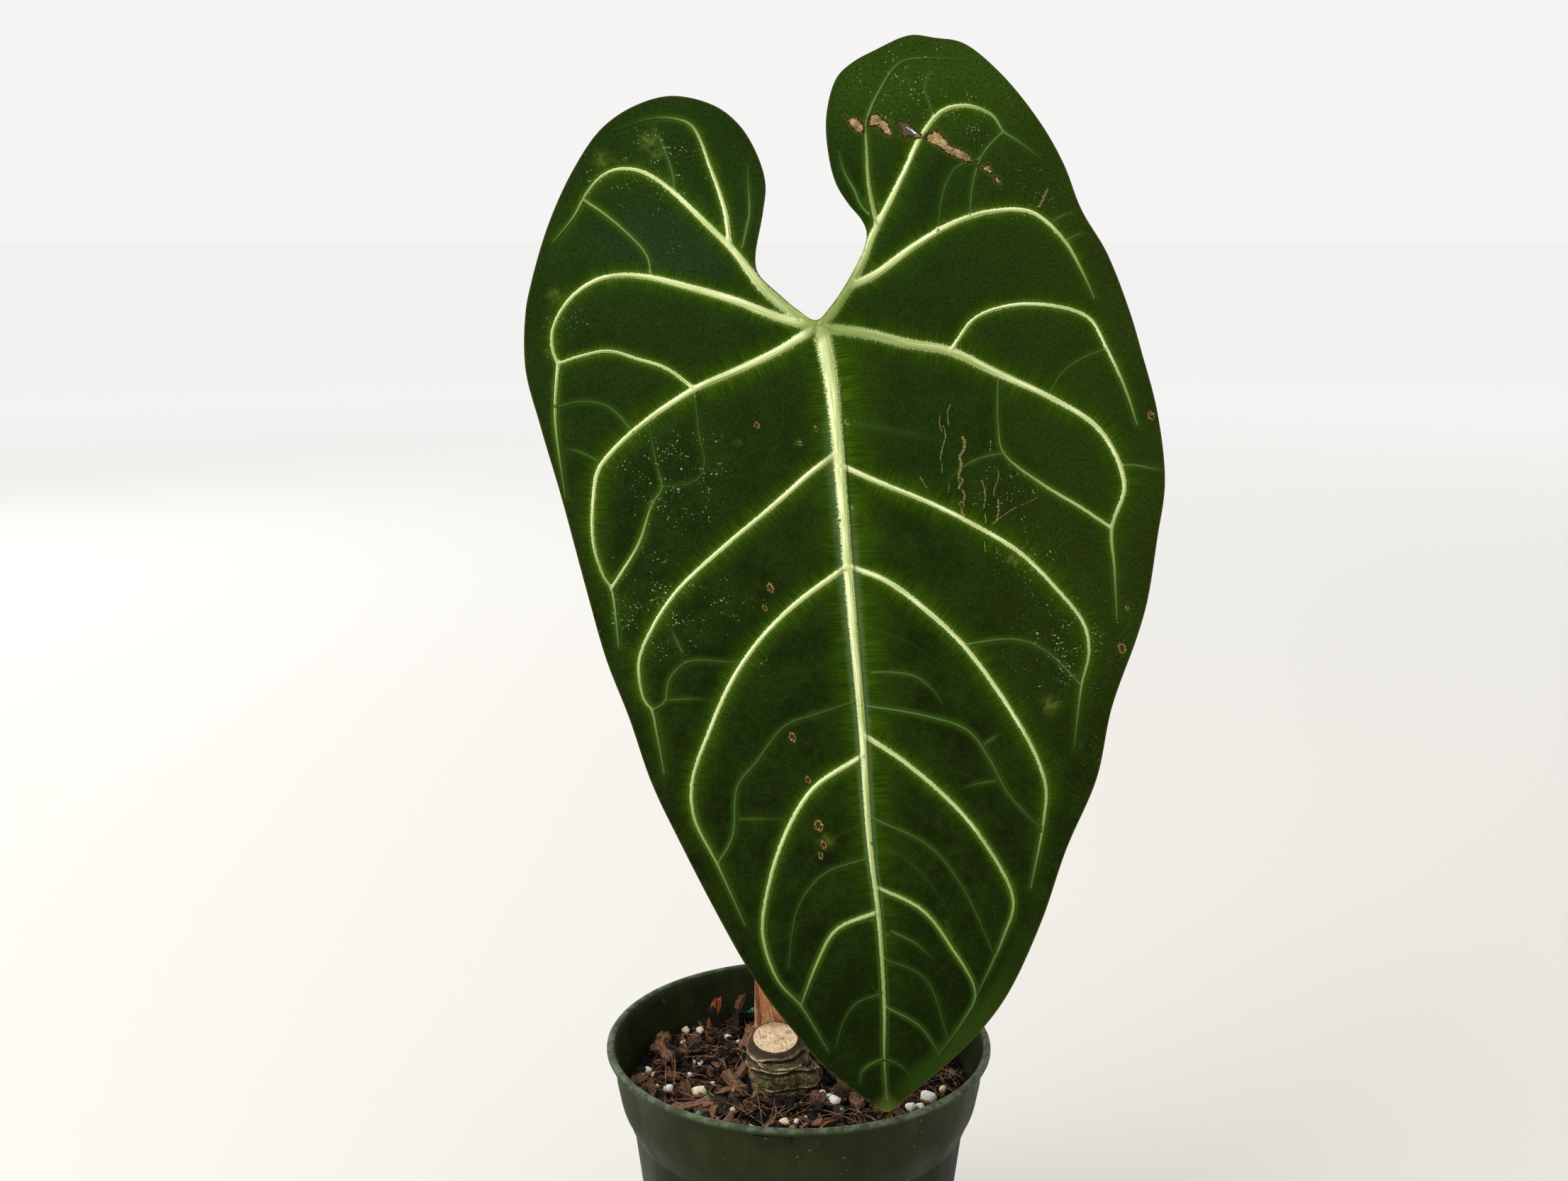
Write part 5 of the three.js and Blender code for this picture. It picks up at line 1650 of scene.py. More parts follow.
@dataclass
class Stalk:
    """The stalk behind the blade with its swollen knee. Lengths in millimetres."""

    effects: SharedEffects
    points: tuple[Place, ...] = (
        (-5, 20, 103), (-4.8, 20, 137), (-3.6, 20.4, 190), (-0.8, 21.4, 260), (2.4, 22.6, 330),
        (5, 22.8, 390), (6.8, 20.4, 421))
    radii: tuple[Point, ...] = ((0, 5), (0.08, 4.6), (0.2, 4.2), (0.6, 3.8), (0.86, 3.8), (0.92, 4.9),
                                (0.97, 4.9), (1, 4.2))
    steps: int = 120
    sides: int = 28
    # Where it meets the back of the blade: u and v, and the height out of the leaf's plane
    join: Point = (0.6, -6.0)
    join_height: float = -4.3

    def build(self, leaf: Leaf) -> bpy.types.Object:
        """Builds the stalk up to the back of the leaf.

        Args:
            leaf: The leaf that it carries.

        Returns:
            The piece.
        """
        height = np.array([self.join_height])
        face = leaf.place(np.array([self.join]), height, height)[0] / MM
        back = np.array([0, math.cos(leaf.lean), -math.sin(leaf.lean)]) * 9 + [0, 0, -2.6]
        path = np.vstack([self.points, face + back, face])
        line = self.sampled(path)
        radius = np.interp(np.linspace(0, 1, len(line)), *zip(*self.radii))
        piece = tubes("stalk", [(line, radius)], 1.0, "POLY", self.sides // 4, 0.00001)
        places = corners_of(piece) / MM
        near = self.nearest_share(line, places)
        fold = 0.18 * np.sin(near * 900) * np.clip((near - 0.9) / 0.02, 0, 1)
        bumps = 0.1 * value_noise(places * [1, 1, 0.15], 1.6, 4.4)
        push_out(piece, places, fold + bumps)
        paint(piece, "rise", near)
        smooth(piece, 60)
        return piece

    def sampled(self, path: np.ndarray) -> np.ndarray:
        """Samples a smooth curve through the stalk's points.

        Args:
            path: The points, one row each.

        Returns:
            Evenly spaced samples, one row each.
        """
        knots = np.concatenate([[0], np.cumsum(np.sqrt(np.linalg.norm(np.diff(path, axis=0), axis=1)))])
        slopes = np.gradient(path, knots, axis=0)
        samples = []
        for i in range(len(path) - 1):
            span = knots[i + 1] - knots[i]
            t = np.linspace(0, 1, 20, endpoint=False)[:, None]
            p, q, m, n = path[i], path[i + 1], slopes[i] * span, slopes[i + 1] * span
            samples.append(p + m * t + (3 * (q - p) - 2 * m - n) * t**2 + (m + n - 2 * (q - p)) * t**3)
        dense = np.vstack([*samples, path[-1:]])
        length = np.concatenate([[0], np.cumsum(np.linalg.norm(np.diff(dense, axis=0), axis=1))])
        wanted = np.linspace(0, length[-1], self.steps)
        return np.column_stack([np.interp(wanted, length, dense[:, axis]) for axis in range(3)])

    @staticmethod
    def nearest_share(line: np.ndarray, places: np.ndarray) -> np.ndarray:
        """Tells how far along the line each place lies, from 0 to 1."""
        gaps = ((places[:, None] - line[None]) ** 2).sum(2)
        return gaps.argmin(1) / (len(line) - 1)

    def finish(self) -> bpy.types.Material:
        """Makes smooth olive-green skin with fine lengthwise lines and a paler knee.

        Returns:
            The material.
        """
        surface = Surface("stalk_skin", bump=0.3, specular=0.45)
        graph = surface.start(self.effects)
        place, rise = graph.object_place(), graph.attribute("rise")
        fine = graph.noise(graph.stretch(place, (1400, 1400, 40)), 1)
        skin = graph.mottle(place, 40, rgb(84, 100, 42), rgb(126, 142, 72))
        skin = skin.coat(fine.ramp(0.45, 0.7, 0, 0.45), 64, 82, 30)
        skin = skin.coat(rise.ramp(0.88, 0.94), 132, 148, 66)
        skin = skin.coat(rise.ramp(0.16, 0.02), 120, 104, 66)
        skin = skin.coat(graph.flecks(place, 420, 0.2, 0.42) * 0.5, 172, 176, 120)
        return surface.close(skin, fine.ramp(0.3, 0.7, 0.42, 0.58), fine)


@dataclass
class Sheath:
    """The dry papery sheath round the foot of the stalk. Lengths in millimetres."""

    effects: SharedEffects
    foot: float = 125.6
    centre: Point = (-4.6, 20.1)
    start: float = math.radians(130)
    end: float = math.radians(330)
    tip: float = math.radians(200)
    open_way: float = math.radians(183)
    thickness: float = 0.45
    tip_height: float = 41.0
    side_fall: float = 24.0
    foot_radius: float = 5.5
    flare: float = 10.2
    bulge: float = 8.8

    def build(self) -> bpy.types.Object:
        """Builds the sheath from a grid that is wrapped, flared and frayed.

        Returns:
            The piece.
        """
        deselect_all()
        bpy.ops.mesh.primitive_grid_add(x_subdivisions=110, y_subdivisions=60, size=1)
        piece = named("papery_sheath")
        places = corners_of(piece)
        across, rise = places[:, 0] + 0.5, places[:, 1] + 0.5
        turn = self.start + (self.end - self.start) * across
        off = np.abs((turn - self.tip) / np.where(turn < self.tip, self.tip - self.start, self.end - self.tip))
        tear = np.column_stack([60 * across, np.zeros(len(across)), np.zeros(len(across))])
        height = self.tip_height - self.side_fall * off**1.3
        height = height + 1.6 * value_noise(tear, 2.2, 2.0) + 0.9 * value_noise(tear, 0.7, 6.0)
        height = np.minimum(height, self.tip_height - 0.7 - 12 * np.clip(off - 0.1, 0, 1))
        flare = self.foot_radius + self.flare * (1 - off) * rise**1.7 + 0.5 * np.sin(5 * turn) * rise
        bulge = np.exp(-(((turn - self.open_way) / 0.5) ** 2)) * np.clip(2.6 * rise, 0, 1)
        flare = np.maximum(flare, self.foot_radius + self.bulge * bulge)
        folds = 0.35 * np.sin(17 * turn + 2 * rise) * rise + 0.2 * np.sin(31 * turn) * rise
        crease = 0.5 + 0.5 * np.sin(10 * turn + 2.2 * rise + 0.9)
        folds += 1.1 * crease * rise * np.exp(-(((turn - self.open_way - 0.3) / 0.75) ** 2))
        radius = flare + folds
        places[:, 0] = self.centre[0] + radius * np.cos(turn)
        places[:, 1] = self.centre[1] + radius * np.sin(turn)
        places[:, 2] = self.foot + height * rise
        put_corners(piece, places * MM)
        paint(piece, "fibre", np.column_stack([60 * across, height * rise, np.zeros(len(across))]))
        paint(piece, "crease", crease)
        apply_modifier(piece, "SOLIDIFY", thickness=self.thickness * MM, offset=0)
        smooth(piece, 60)
        return piece

    def finish(self) -> bpy.types.Material:
        """Makes dry orange-tan paper with lengthwise fibres, and painted shade in the creases between its
        folds.

        Returns:
            The material.
        """
        surface = Surface("dry_sheath", roughness=0.66, bump=0.6, bump_depth=0.0004)
        graph = surface.start(self.effects)
        fibre = graph.attribute("fibre", "Vector")
        lines = graph.noise(graph.stretch(fibre, (2.4, 0.14, 1)), 1, 4)
        paper = graph.mottle(fibre, 0.12, rgb(166, 98, 50), rgb(222, 162, 106))
        paper = paper.coat(lines.ramp(0.46, 0.66, 0, 0.45), 236, 192, 138)
        paper = paper.coat(lines.ramp(0.42, 0.3, 0, 0.5), 110, 58, 28)
        # Painted shade in the valleys between the sheath's folds
        folded = graph.attribute("crease") + lines.ramp(0.3, 0.7, -0.12, 0.12)
        paper = paper.coat(folded.ramp(0.2, 0.04, 0, 0.85), 96, 44, 20)
        return surface.close(paper, None, lines)


# ---------------------------------------------------------------- pot


@dataclass
class NurseryPot:
    """The moulded pot: lip bead, collar, tapered body, base with drain holes. Lengths in millimetres."""

    effects: SharedEffects
    sides: int = 160
    outside: tuple[Point, ...] = (
        (40.0, 0.0), (54.4, 0.0), (55.6, 0.25), (56.8, 0.7), (57.5, 1.4), (57.9, 2.6), (58.1, 4.0),
        (61.4, 30.0), (64.7, 56.0), (68.0, 82.0), (70.9, 105.5), (71.3, 108.2), (71.5, 109.0), (72.3, 110.2),
        (73.0, 111.6), (73.9, 114.2), (75.3, 117.0), (76.2, 119.5), (76.8, 122.0), (78.3, 130.0),
        (79.3, 140.6), (79.6, 141.2), (80.3, 141.6), (81.4, 141.8), (82.1, 142.3), (82.45, 143.1),
        (82.4, 143.9), (82.0, 144.5), (81.4, 144.85), (80.8, 145.0))
    inside: tuple[Point, ...] = (
        (80.2, 144.9), (79.6, 144.6), (79.1, 143.9), (78.5, 142.4), (78.0, 141.0), (77.75, 138.0),
        (76.8, 130.0), (75.3, 122.0), (74.6, 119.5), (73.8, 117.0), (72.6, 114.4), (71.7, 112.5),
        (70.6, 110.2), (69.9, 109.0), (68.6, 100.0), (65.2, 72.0), (61.0, 40.0), (57.0, 7.0), (56.2, 4.0),
        (55.0, 2.8), (53.4, 2.0), (36.0, 2.0))
    drain_count: int = 8
    drain_radius: float = 5.0
    drain_ring: float = 46.0
    pad_centre: Place = (-11.0, -78.9, 139.4)
    pad_size: Place = (14.6, 2.0, 4.0)
    notch_centre: Place = (-3.1, -80.0, 139.2)
    notch_size: Place = (1.1, 2.2, 5.2)

    def build(self) -> bpy.types.Object:
        """Builds the pot, with its drain holes and the small moulded pad.

        Returns:
            The piece.
        """
        pot = turned_body("nursery_pot", (*self.outside, *self.inside), self.sides)
        for index in range(self.drain_count):
            turn = 2 * math.pi * (index + 0.5) / self.drain_count
            deselect_all()
            bpy.ops.mesh.primitive_cylinder_add(
                vertices=40, radius=self.drain_radius * MM, depth=8 * MM,
                location=(self.drain_ring * math.cos(turn) * MM, self.drain_ring * math.sin(turn) * MM, MM))
            self.cut(pot, named("drain_cutter"), "DIFFERENCE")
        pad = self.block("pad", self.pad_centre, self.pad_size)
        apply_modifier(pad, "BEVEL", width=0.4 * MM, segments=3)
        self.cut(pot, pad, "UNION")
        self.cut(pot, self.block("pad_notch", self.notch_centre, self.notch_size), "DIFFERENCE")
        smooth(pot, 32)
        return pot

    @staticmethod
    def block(name: str, centre: Place, size: Place) -> bpy.types.Object:
        """Adds a plain block.

        Args:
            name: Its name.
            centre: Its middle.
            size: Its three sides.

        Returns:
            The block.
        """
        deselect_all()
        bpy.ops.mesh.primitive_cube_add(
            size=1, location=[value * MM for value in centre], scale=[value * MM for value in size])
        block = named(name)
        apply_place(block)
        return block

    @staticmethod
    def cut(pot: bpy.types.Object, tool: bpy.types.Object, operation: str) -> None:
        """Joins a tool to the pot or cuts it out, and removes the tool.

        Args:
            pot: The pot.
            tool: The other solid.
            operation: UNION or DIFFERENCE.
        """
        apply_place(tool)
        apply_modifier(pot, "BOOLEAN", operation=operation, object=tool, solver="EXACT")
        bpy.data.objects.remove(tool)

    def finish(self) -> bpy.types.Material:
        """Makes dark green moulded plastic, dusty, pale along the lip from wear and a painted highlight, with
        painted shadow under the collar.

        Returns:
            The material.
        """
        surface = Surface("pot_plastic", bump=0.12, specular=0.08)
        graph = surface.start(self.effects)
        place = graph.object_place()
        x, y, z = place.parts()
        dust = graph.noise(graph.stretch(place, (60, 60, 18)), 1, 5)
        plastic = graph.mottle(place, 26, rgb(28, 33, 13), rgb(38, 45, 18))
        plastic = plastic.coat(dust.ramp(0.5, 0.72, 0, 0.3), 60, 68, 38)
        # Painted shadow: a dark band just under the collar's step
        plastic = plastic.coat(z.ramp(0.1095, 0.1075) * z.ramp(0.06, 0.105) * 0.6, 16, 18, 10)
        pad = x.ramp(-0.0186, -0.0182) * x.ramp(-0.0024, -0.0028) * y.ramp(-0.077, -0.0776, 0, 0.3)
        plastic = plastic.coat(pad * (z.ramp(0.1368, 0.1374) * z.ramp(0.142, 0.1414)), 14, 18, 8)
        reach = graph.math("SQRT", x * x + y * y)
        # Pale along the top of the lip: partly wear, partly a painted highlight
        lip_wear_and_highlight = graph.noise(place, 260, 5).ramp(0.4, 0.62, 0.3, 0.9)
        lip_wear_and_highlight = z.ramp(0.1426, 0.1446) * reach.ramp(0.0788, 0.08) * lip_wear_and_highlight
        plastic = plastic.coat(lip_wear_and_highlight * 0.75, 104, 116, 92)
        plastic = plastic.coat(graph.flecks(place, 330, 0.16, 0.4) * 0.45, 120, 124, 100)
        return surface.close(plastic, dust.ramp(0.35, 0.7, 0.42, 0.66), graph.noise(place, 700))


# ---------------------------------------------------------------- potting mix


def soil_height(x: np.ndarray | float, y: np.ndarray | float) -> np.ndarray | float:
    """Gives the height of the mix's surface.

    Args:
        x: Places to the right, in millimetres.
        y: Places to the back.

    Returns:
        The heights in millimetres.
    """
    mound = 2.2 * np.exp(-((x + 7) ** 2 + y**2) / 500)
    lumps = 0.9 * np.sin(x / 7 + 1.3) * np.cos(y / 8 - 0.4) + 0.6 * np.sin((x - y) / 4.7)
    return 124.0 + mound + lumps


class Crumb(Enum):
    """The kinds of small pieces that lie in the mix."""

    BARK = "bark_chips"
    CRUMBS = "fine_crumbs"
    PERLITE = "perlite_grains"
    PRILL = "feed_prills"


@dataclass(frozen=True)
class Lying:
    """One small piece: where it lies, its sizes, its turn and tip in degrees, its shape and its tint."""

    place: Place
    size: Place
    turn: float
    tip: float
    roll: float
    shape: int
    tint: float

    def matrix(self) -> np.ndarray:
        """Gives its turn: roll, then tip, then turn."""
        angles = (math.radians(value) for value in (self.roll, self.tip, self.turn))
        return np.array(Euler(tuple(angles), "XYZ").to_matrix())


@dataclass
class PottingMix:
    """The damp mix: a bed with bark, crumbs, perlite, prills and fibres on it.

    Lengths are in millimetres. wall_clear is how far from the axis a small piece may reach.
    """

    radius: float = 74.0
    wall_clear: float = 73.2
    foot: float = 2.4
    stub_centre: Point = (-9.0, -2.0)
    stub_reach: float = 14.5
    sheath_centre: Point = (-6.0, 20.0)
    sheath_reach: float = 9.0
    seed: int = 11
    shape_count: int = 5
    chip_count: int = 900
    crumb_count: int = 3400
    perlite_count: int = 46
    prill_count: int = 12
    fibre_count: int = 420
    fibre_radius: float = 0.085
    fibre_field: float = 70.0
    bed_drop: float = 1.7
    # Height, size and seed of the bed's lumps
    bed_lumps: tuple[Place, ...] = ((1.1, 6.0, 2.2), (0.9, 2.6, 7.5), (0.5, 1.3, 4.6))
    # Bark that stands out: x, y, length, width, thickness, turn, tip and tint
    placed_chips: tuple[tuple[float, ...], ...] = (
        (-39, 55, 14, 4, 2.6, 20, 72, 0.99), (-29, 64, 15, 2.6, 2.6, 60, 45, 0.7),
        (-44, -25, 17, 6, 2.6, 4, 6, 0.95), (-62, 32, 11, 5, 3, 60, 24, 0.9),
        (-60, 22, 12, 4, 2.4, 120, 20, 0.9),
        (-48, 31, 10, 5, 2.4, 30, 15, 0.5), (44, -36, 12, 5, 2.6, 150, 14, 0.6), (52, 4, 13, 6, 3, 70, 10, 0.7),
        (30, 30, 12, 5, 3, 20, 18, 0.6), (8, 52, 13, 6, 3, 130, 10, 0.7), (24, -20, 10, 5, 2.5, 100, 15, 0.8),
        (-30, -44, 11, 5, 2.5, 160, 12, 0.9), (-22, 34, 12, 5, 2.6, 60, 35, 0.93),
        (-17, 52, 14, 5, 2.4, 80, 50, 0.97), (-28, -8, 12, 5, 2.4, 130, 24, 0.9),
        (-24, 4, 10, 4, 2.4, 40, 30, 0.86), (-36, -30, 8, 3, 2, 70, 20, 0.9))
    placed_perlite: tuple[Place, ...] = (
        (-45, 47, 4.2), (-32, 41, 3.6), (-44, 15, 4.6), (-43, -13, 7), (-52, 36, 3), (-66, 9, 4), (-63, 6, 3.5),
        (-56, -10, 4.5), (15, -23, 5.6), (47, -25, 5), (51, -24, 4.5), (55, -19, 7.5), (-19, -43, 5),
        (-6, -39, 4), (8, 6, 3.5), (-28, 64, 5.5), (34, 48, 5), (-12, 60, 5), (62, 14, 4.5))
    placed_prills: tuple[Point, ...] = ((-26, 66), (-21, 68), (-23, 65), (-42, -31), (-39, -19), (-58, 22))
    # Fibres that stand out: points x, y and height over the mix
    placed_fibres: tuple[tuple[Place, ...], ...] = (
        ((-59, 29, 1), (-59, 12, 5), (-57, -8, 6), (-56, -27, 2)),
        ((-56, 26, 1), (-54, 12, 5), (-53, -2, 6), (-54, -14, 2)),
        ((-20, 8, 3), (-19, -10, 6), (-17, -26, 4), (-15, -42, 2)),
        ((-71, 2, 1), (-66, 4, 5), (-58, 3, 4), (-54, 8, 1)),
        ((-70, -4, 2), (-64, 2, 4), (-60, 10, 4), (-58, 16, 1)),
        ((4, -30, 2), (12, -33, 5), (22, -40, 4), (30, -45, 1)),
        ((8, -34, 1), (20, -34, 5), (30, -38, 4), (38, -42, 1)),
        ((-2, -36, 1), (-1, -44, 6), (4, -50, 4), (8, -55, 1)),
        ((-34, -20, 1), (-28, -28, 5), (-20, -36, 3), (-14, -40, 1)),
        ((-38, 20, 1), (-32, 12, 5), (-30, 2, 4), (-32, -6, 1)),
        ((24, -30, 1), (34, -34, 5), (44, -34, 3), (52, -38, 1)),
    )

    def bed(self) -> bpy.types.Object:
        """Builds the body of the mix, lumpy on top.

        Returns:
            The piece.
        """
        rings = [(50.0, self.foot), (55.6, self.foot + 2), (57.0, 10.0), (68.6, 104.0), (71.0, 113.0),
                 (73.4, 119.0), (self.radius, 123.0)]
        rings += [(float(radius), 124.0) for radius in np.arange(73.2, 0.8, -1.1)]
        piece = turned_body("mix_bed", rings, 220)
        places = corners_of(piece) / MM
        top = places[:, 2] > 122.5
        x, y = places[top, 0], places[top, 1]
        flat = np.column_stack([x, y, np.zeros(len(x))])
        rough = sum(height * value_noise(flat, size, seed) for height, size, seed in self.bed_lumps)
        places[top, 2] = soil_height(x, y) - self.bed_drop + rough
        put_corners(piece, places * MM)
        smooth(piece, 60)
        return piece

    def clear(self, x: float, y: float, margin: float) -> bool:
        """Tells whether a small piece at a place stays off the stem, the sheath and the pot's wall.

        Args:
            x: Its place to the right, in millimetres.
            y: Its place to the back.
            margin: Half its length.

        Returns:
            Whether it does.
        """
        off_stub = math.dist((x, y), self.stub_centre) > self.stub_reach + margin
        off_sheath = math.dist((x, y), self.sheath_centre) > self.sheath_reach + margin
        return off_stub and off_sheath and math.hypot(x, y) < self.radius - margin

    def templates(self, kind: Crumb) -> list[tuple[np.ndarray, list[list[int]]]]:
        """Models a few shapes of one kind, each about 1 mm in size.

        Args:
            kind: The kind of small piece.

        Returns:
            Corner places and faces of each shape.
        """
        shapes = []
        random = np.random.default_rng(self.seed + len(kind.value))
        for number in range(self.shape_count):
            deselect_all()
            if kind is Crumb.BARK:
                bpy.ops.mesh.primitive_cube_add(size=1)
            else:
                finer = {Crumb.CRUMBS: 1, Crumb.PERLITE: 2, Crumb.PRILL: 3}[kind]
                bpy.ops.mesh.primitive_ico_sphere_add(subdivisions=finer, radius=0.5)
            model = named("shape")
            if kind is Crumb.BARK:
                with edit_mode(model):
                    bpy.ops.mesh.select_all(action="SELECT")
                    bpy.ops.mesh.subdivide(number_cuts=3, smoothness=0.1)
            places = corners_of(model)
            if kind is Crumb.BARK:
                rough = np.column_stack([value_noise(places, 0.55, number + 3 * axis) for axis in range(3)])
                taper = 1 - (0.1 + 0.15 * number) * (places[:, :1] + 0.5)
                places = np.column_stack([places[:, 0], (places * taper)[:, 1:]]) + 0.26 * rough
                places += random.normal(0, 0.05, places.shape)
            elif kind is not Crumb.PRILL:
                places *= (1 + 0.5 * value_noise(places, 0.42, number + 0.5))[:, None]
                places += random.normal(0, 0.02, places.shape)
            shapes.append((places, [list(face.vertices) for face in model.data.polygons]))
            bpy.data.objects.remove(model)
        return shapes

    @staticmethod
    def somewhere(random: np.random.Generator, radius: float) -> Point:
        """Draws a place in a round area.

        Args:
            random: The seeded source of chance.
            radius: The area's radius in millimetres.

        Returns:
            The place.
        """
        reach, angle = radius * math.sqrt(random.random()), 2 * math.pi * random.random()
        return reach * math.cos(angle), reach * math.sin(angle)

    def scatter(self, kind: Crumb, random: np.random.Generator) -> list[Lying]:
        """Chooses where the small pieces of one kind lie.

        Args:
            kind: The kind of small piece.
            random: The seeded source of chance.

        Returns:
            The pieces that lie in the mix.
        """
        lying = []
        counts = {Crumb.BARK: self.chip_count, Crumb.CRUMBS: self.crumb_count,
                  Crumb.PERLITE: self.perlite_count, Crumb.PRILL: self.prill_count}
        while len(lying) < counts[kind]:
            x, y = self.somewhere(random, self.radius)
            if kind is Crumb.BARK:
                length = float(np.clip(random.lognormal(1.4, 0.5), 2, 13))
                size = (length, length * random.uniform(0.22, 0.6), length * random.uniform(0.14, 0.32))
                tip, lift = random.normal(0, 32), 0.2 * length * random.random()
            elif kind is Crumb.CRUMBS:
                length = random.uniform(0.7, 2.4)
                size = (length, length * random.uniform(0.5, 1), length * random.uniform(0.4, 0.9))
                tip, lift = random.uniform(-90, 90), random.uniform(-1.2, 0.6)
            elif kind is Crumb.PERLITE:
                length = random.uniform(1.2, 3.6)
                size = (length, length * random.uniform(0.75, 1), length * random.uniform(0.65, 0.95))
                tip, lift = random.uniform(-90, 90), 0.3 * length
            else:
                length = random.uniform(2.4, 3.1)
                size, tip, lift = (length, length, 0.94 * length), 0.0, 0.4 * length
            if self.clear(x, y, 0.5 * length):
                lying.append(Lying((x, y, soil_height(x, y) + lift), size, random.uniform(0, 360), tip,
                                   random.normal(0, 14), int(random.integers(self.shape_count)),
                                   random.random()))
        return lying

    def placed(self, kind: Crumb, random: np.random.Generator) -> list[Lying]:
        """Lists the pieces of one kind that stand out by the look of the surface.

        Args:
            kind: The kind of small piece.
            random: The seeded source of chance.

        Returns:
            The pieces.
        """
        rows = []
        if kind is Crumb.BARK:
            for x, y, length, width, thick, turn, tip, tint in self.placed_chips:
                height = soil_height(x, y) + 0.8 + 0.375 * length * abs(math.sin(math.radians(tip)))
                rows.append(Lying((x, y, height), (length, width, thick), turn, -tip, 0.0, 0, tint))
        elif kind is Crumb.PERLITE:
            for x, y, size in self.placed_perlite:
                place = (x, y, soil_height(x, y) + 0.3 * size)
                rows.append(Lying(place, (size, 0.85 * size, 0.75 * size), random.uniform(0, 360), 0.0, 0.0,
                                  int(random.integers(self.shape_count)), random.random()))
        elif kind is Crumb.PRILL:
            for x, y in self.placed_prills:
                place = (x, y, soil_height(x, y) + 1.6)
                rows.append(Lying(place, (2.9, 2.9, 2.8), 0.0, 0.0, 0.0, 0, random.random()))
        return rows

    def strewn(self, kind: Crumb) -> bpy.types.Object:
        """Builds all the small pieces of one kind as one object.

        Args:
            kind: The kind of small piece.

        Returns:
            The piece, with a tint and its own grain direction on every small piece.
        """
        random = np.random.default_rng(self.seed * 7 + len(kind.name))
        shapes = self.templates(kind)
        places, faces, tints, grains = [], [], [], []
        start = 0
        for item in self.placed(kind, random) + self.scatter(kind, random):
            corners, shape_faces = shapes[item.shape]
            local = corners * item.size
            laid = local @ item.matrix().T + item.place
            # A piece that would reach into the pot's wall moves inwards
            past = max(0.0, float(np.hypot(laid[:, 0], laid[:, 1]).max()) - self.wall_clear)
            laid[:, :2] -= past / max(math.hypot(*item.place[:2]), 1.0) * np.array(item.place[:2])
            places.append(laid)
            faces.extend([[corner + start for corner in face] for face in shape_faces])
            tints.append(np.full(len(corners), item.tint))
            # Far apart in the texture's space, so that no two pieces show the same grain
            grains.append(local + np.array((31.0, 17.0, 5.0)) * item.tint)
            start += len(corners)
        piece = mesh_piece(kind.value, np.vstack(places) * MM, faces)
        paint(piece, "tint", np.concatenate(tints))
        paint(piece, "grain", np.vstack(grains))
        smooth(piece, 32 if kind in (Crumb.BARK, Crumb.CRUMBS) else 60)
        return piece

    def fibres(self) -> bpy.types.Object:
        """Builds the coco fibres as thin bent threads in one object.

        Returns:
            The piece.
        """
        random = np.random.default_rng(self.seed + 5)
        threads = [[(x, y, soil_height(x, y) + over) for x, y, over in points] for points in self.placed_fibres]
        while len(threads) < self.fibre_count:
            x, y = self.somewhere(random, self.fibre_field)
            heading, length = 2 * math.pi * random.random(), random.uniform(5, 22)
            bend = random.normal(0, 0.22)
            points = []
            for share in (0, 0.33, 0.67, 1):
                x += length / 3 * math.cos(heading)
                y += length / 3 * math.sin(heading)
                heading += bend
                over = 0.6 + random.uniform(0.4, 3.0) * math.sin(math.pi * share)
                points.append((x, y, soil_height(x, y) + over))
            if all(self.clear(px, py, 1.0) for px, py, _ in points):
                threads.append(points)
        sized = [(points, [random.uniform(0.6, 1.5) for _ in points]) for points in threads]
        piece = tubes("coco_fibres", sized, self.fibre_radius, "NURBS", 0, 0.000001)
        smooth(piece, 80)
        return piece


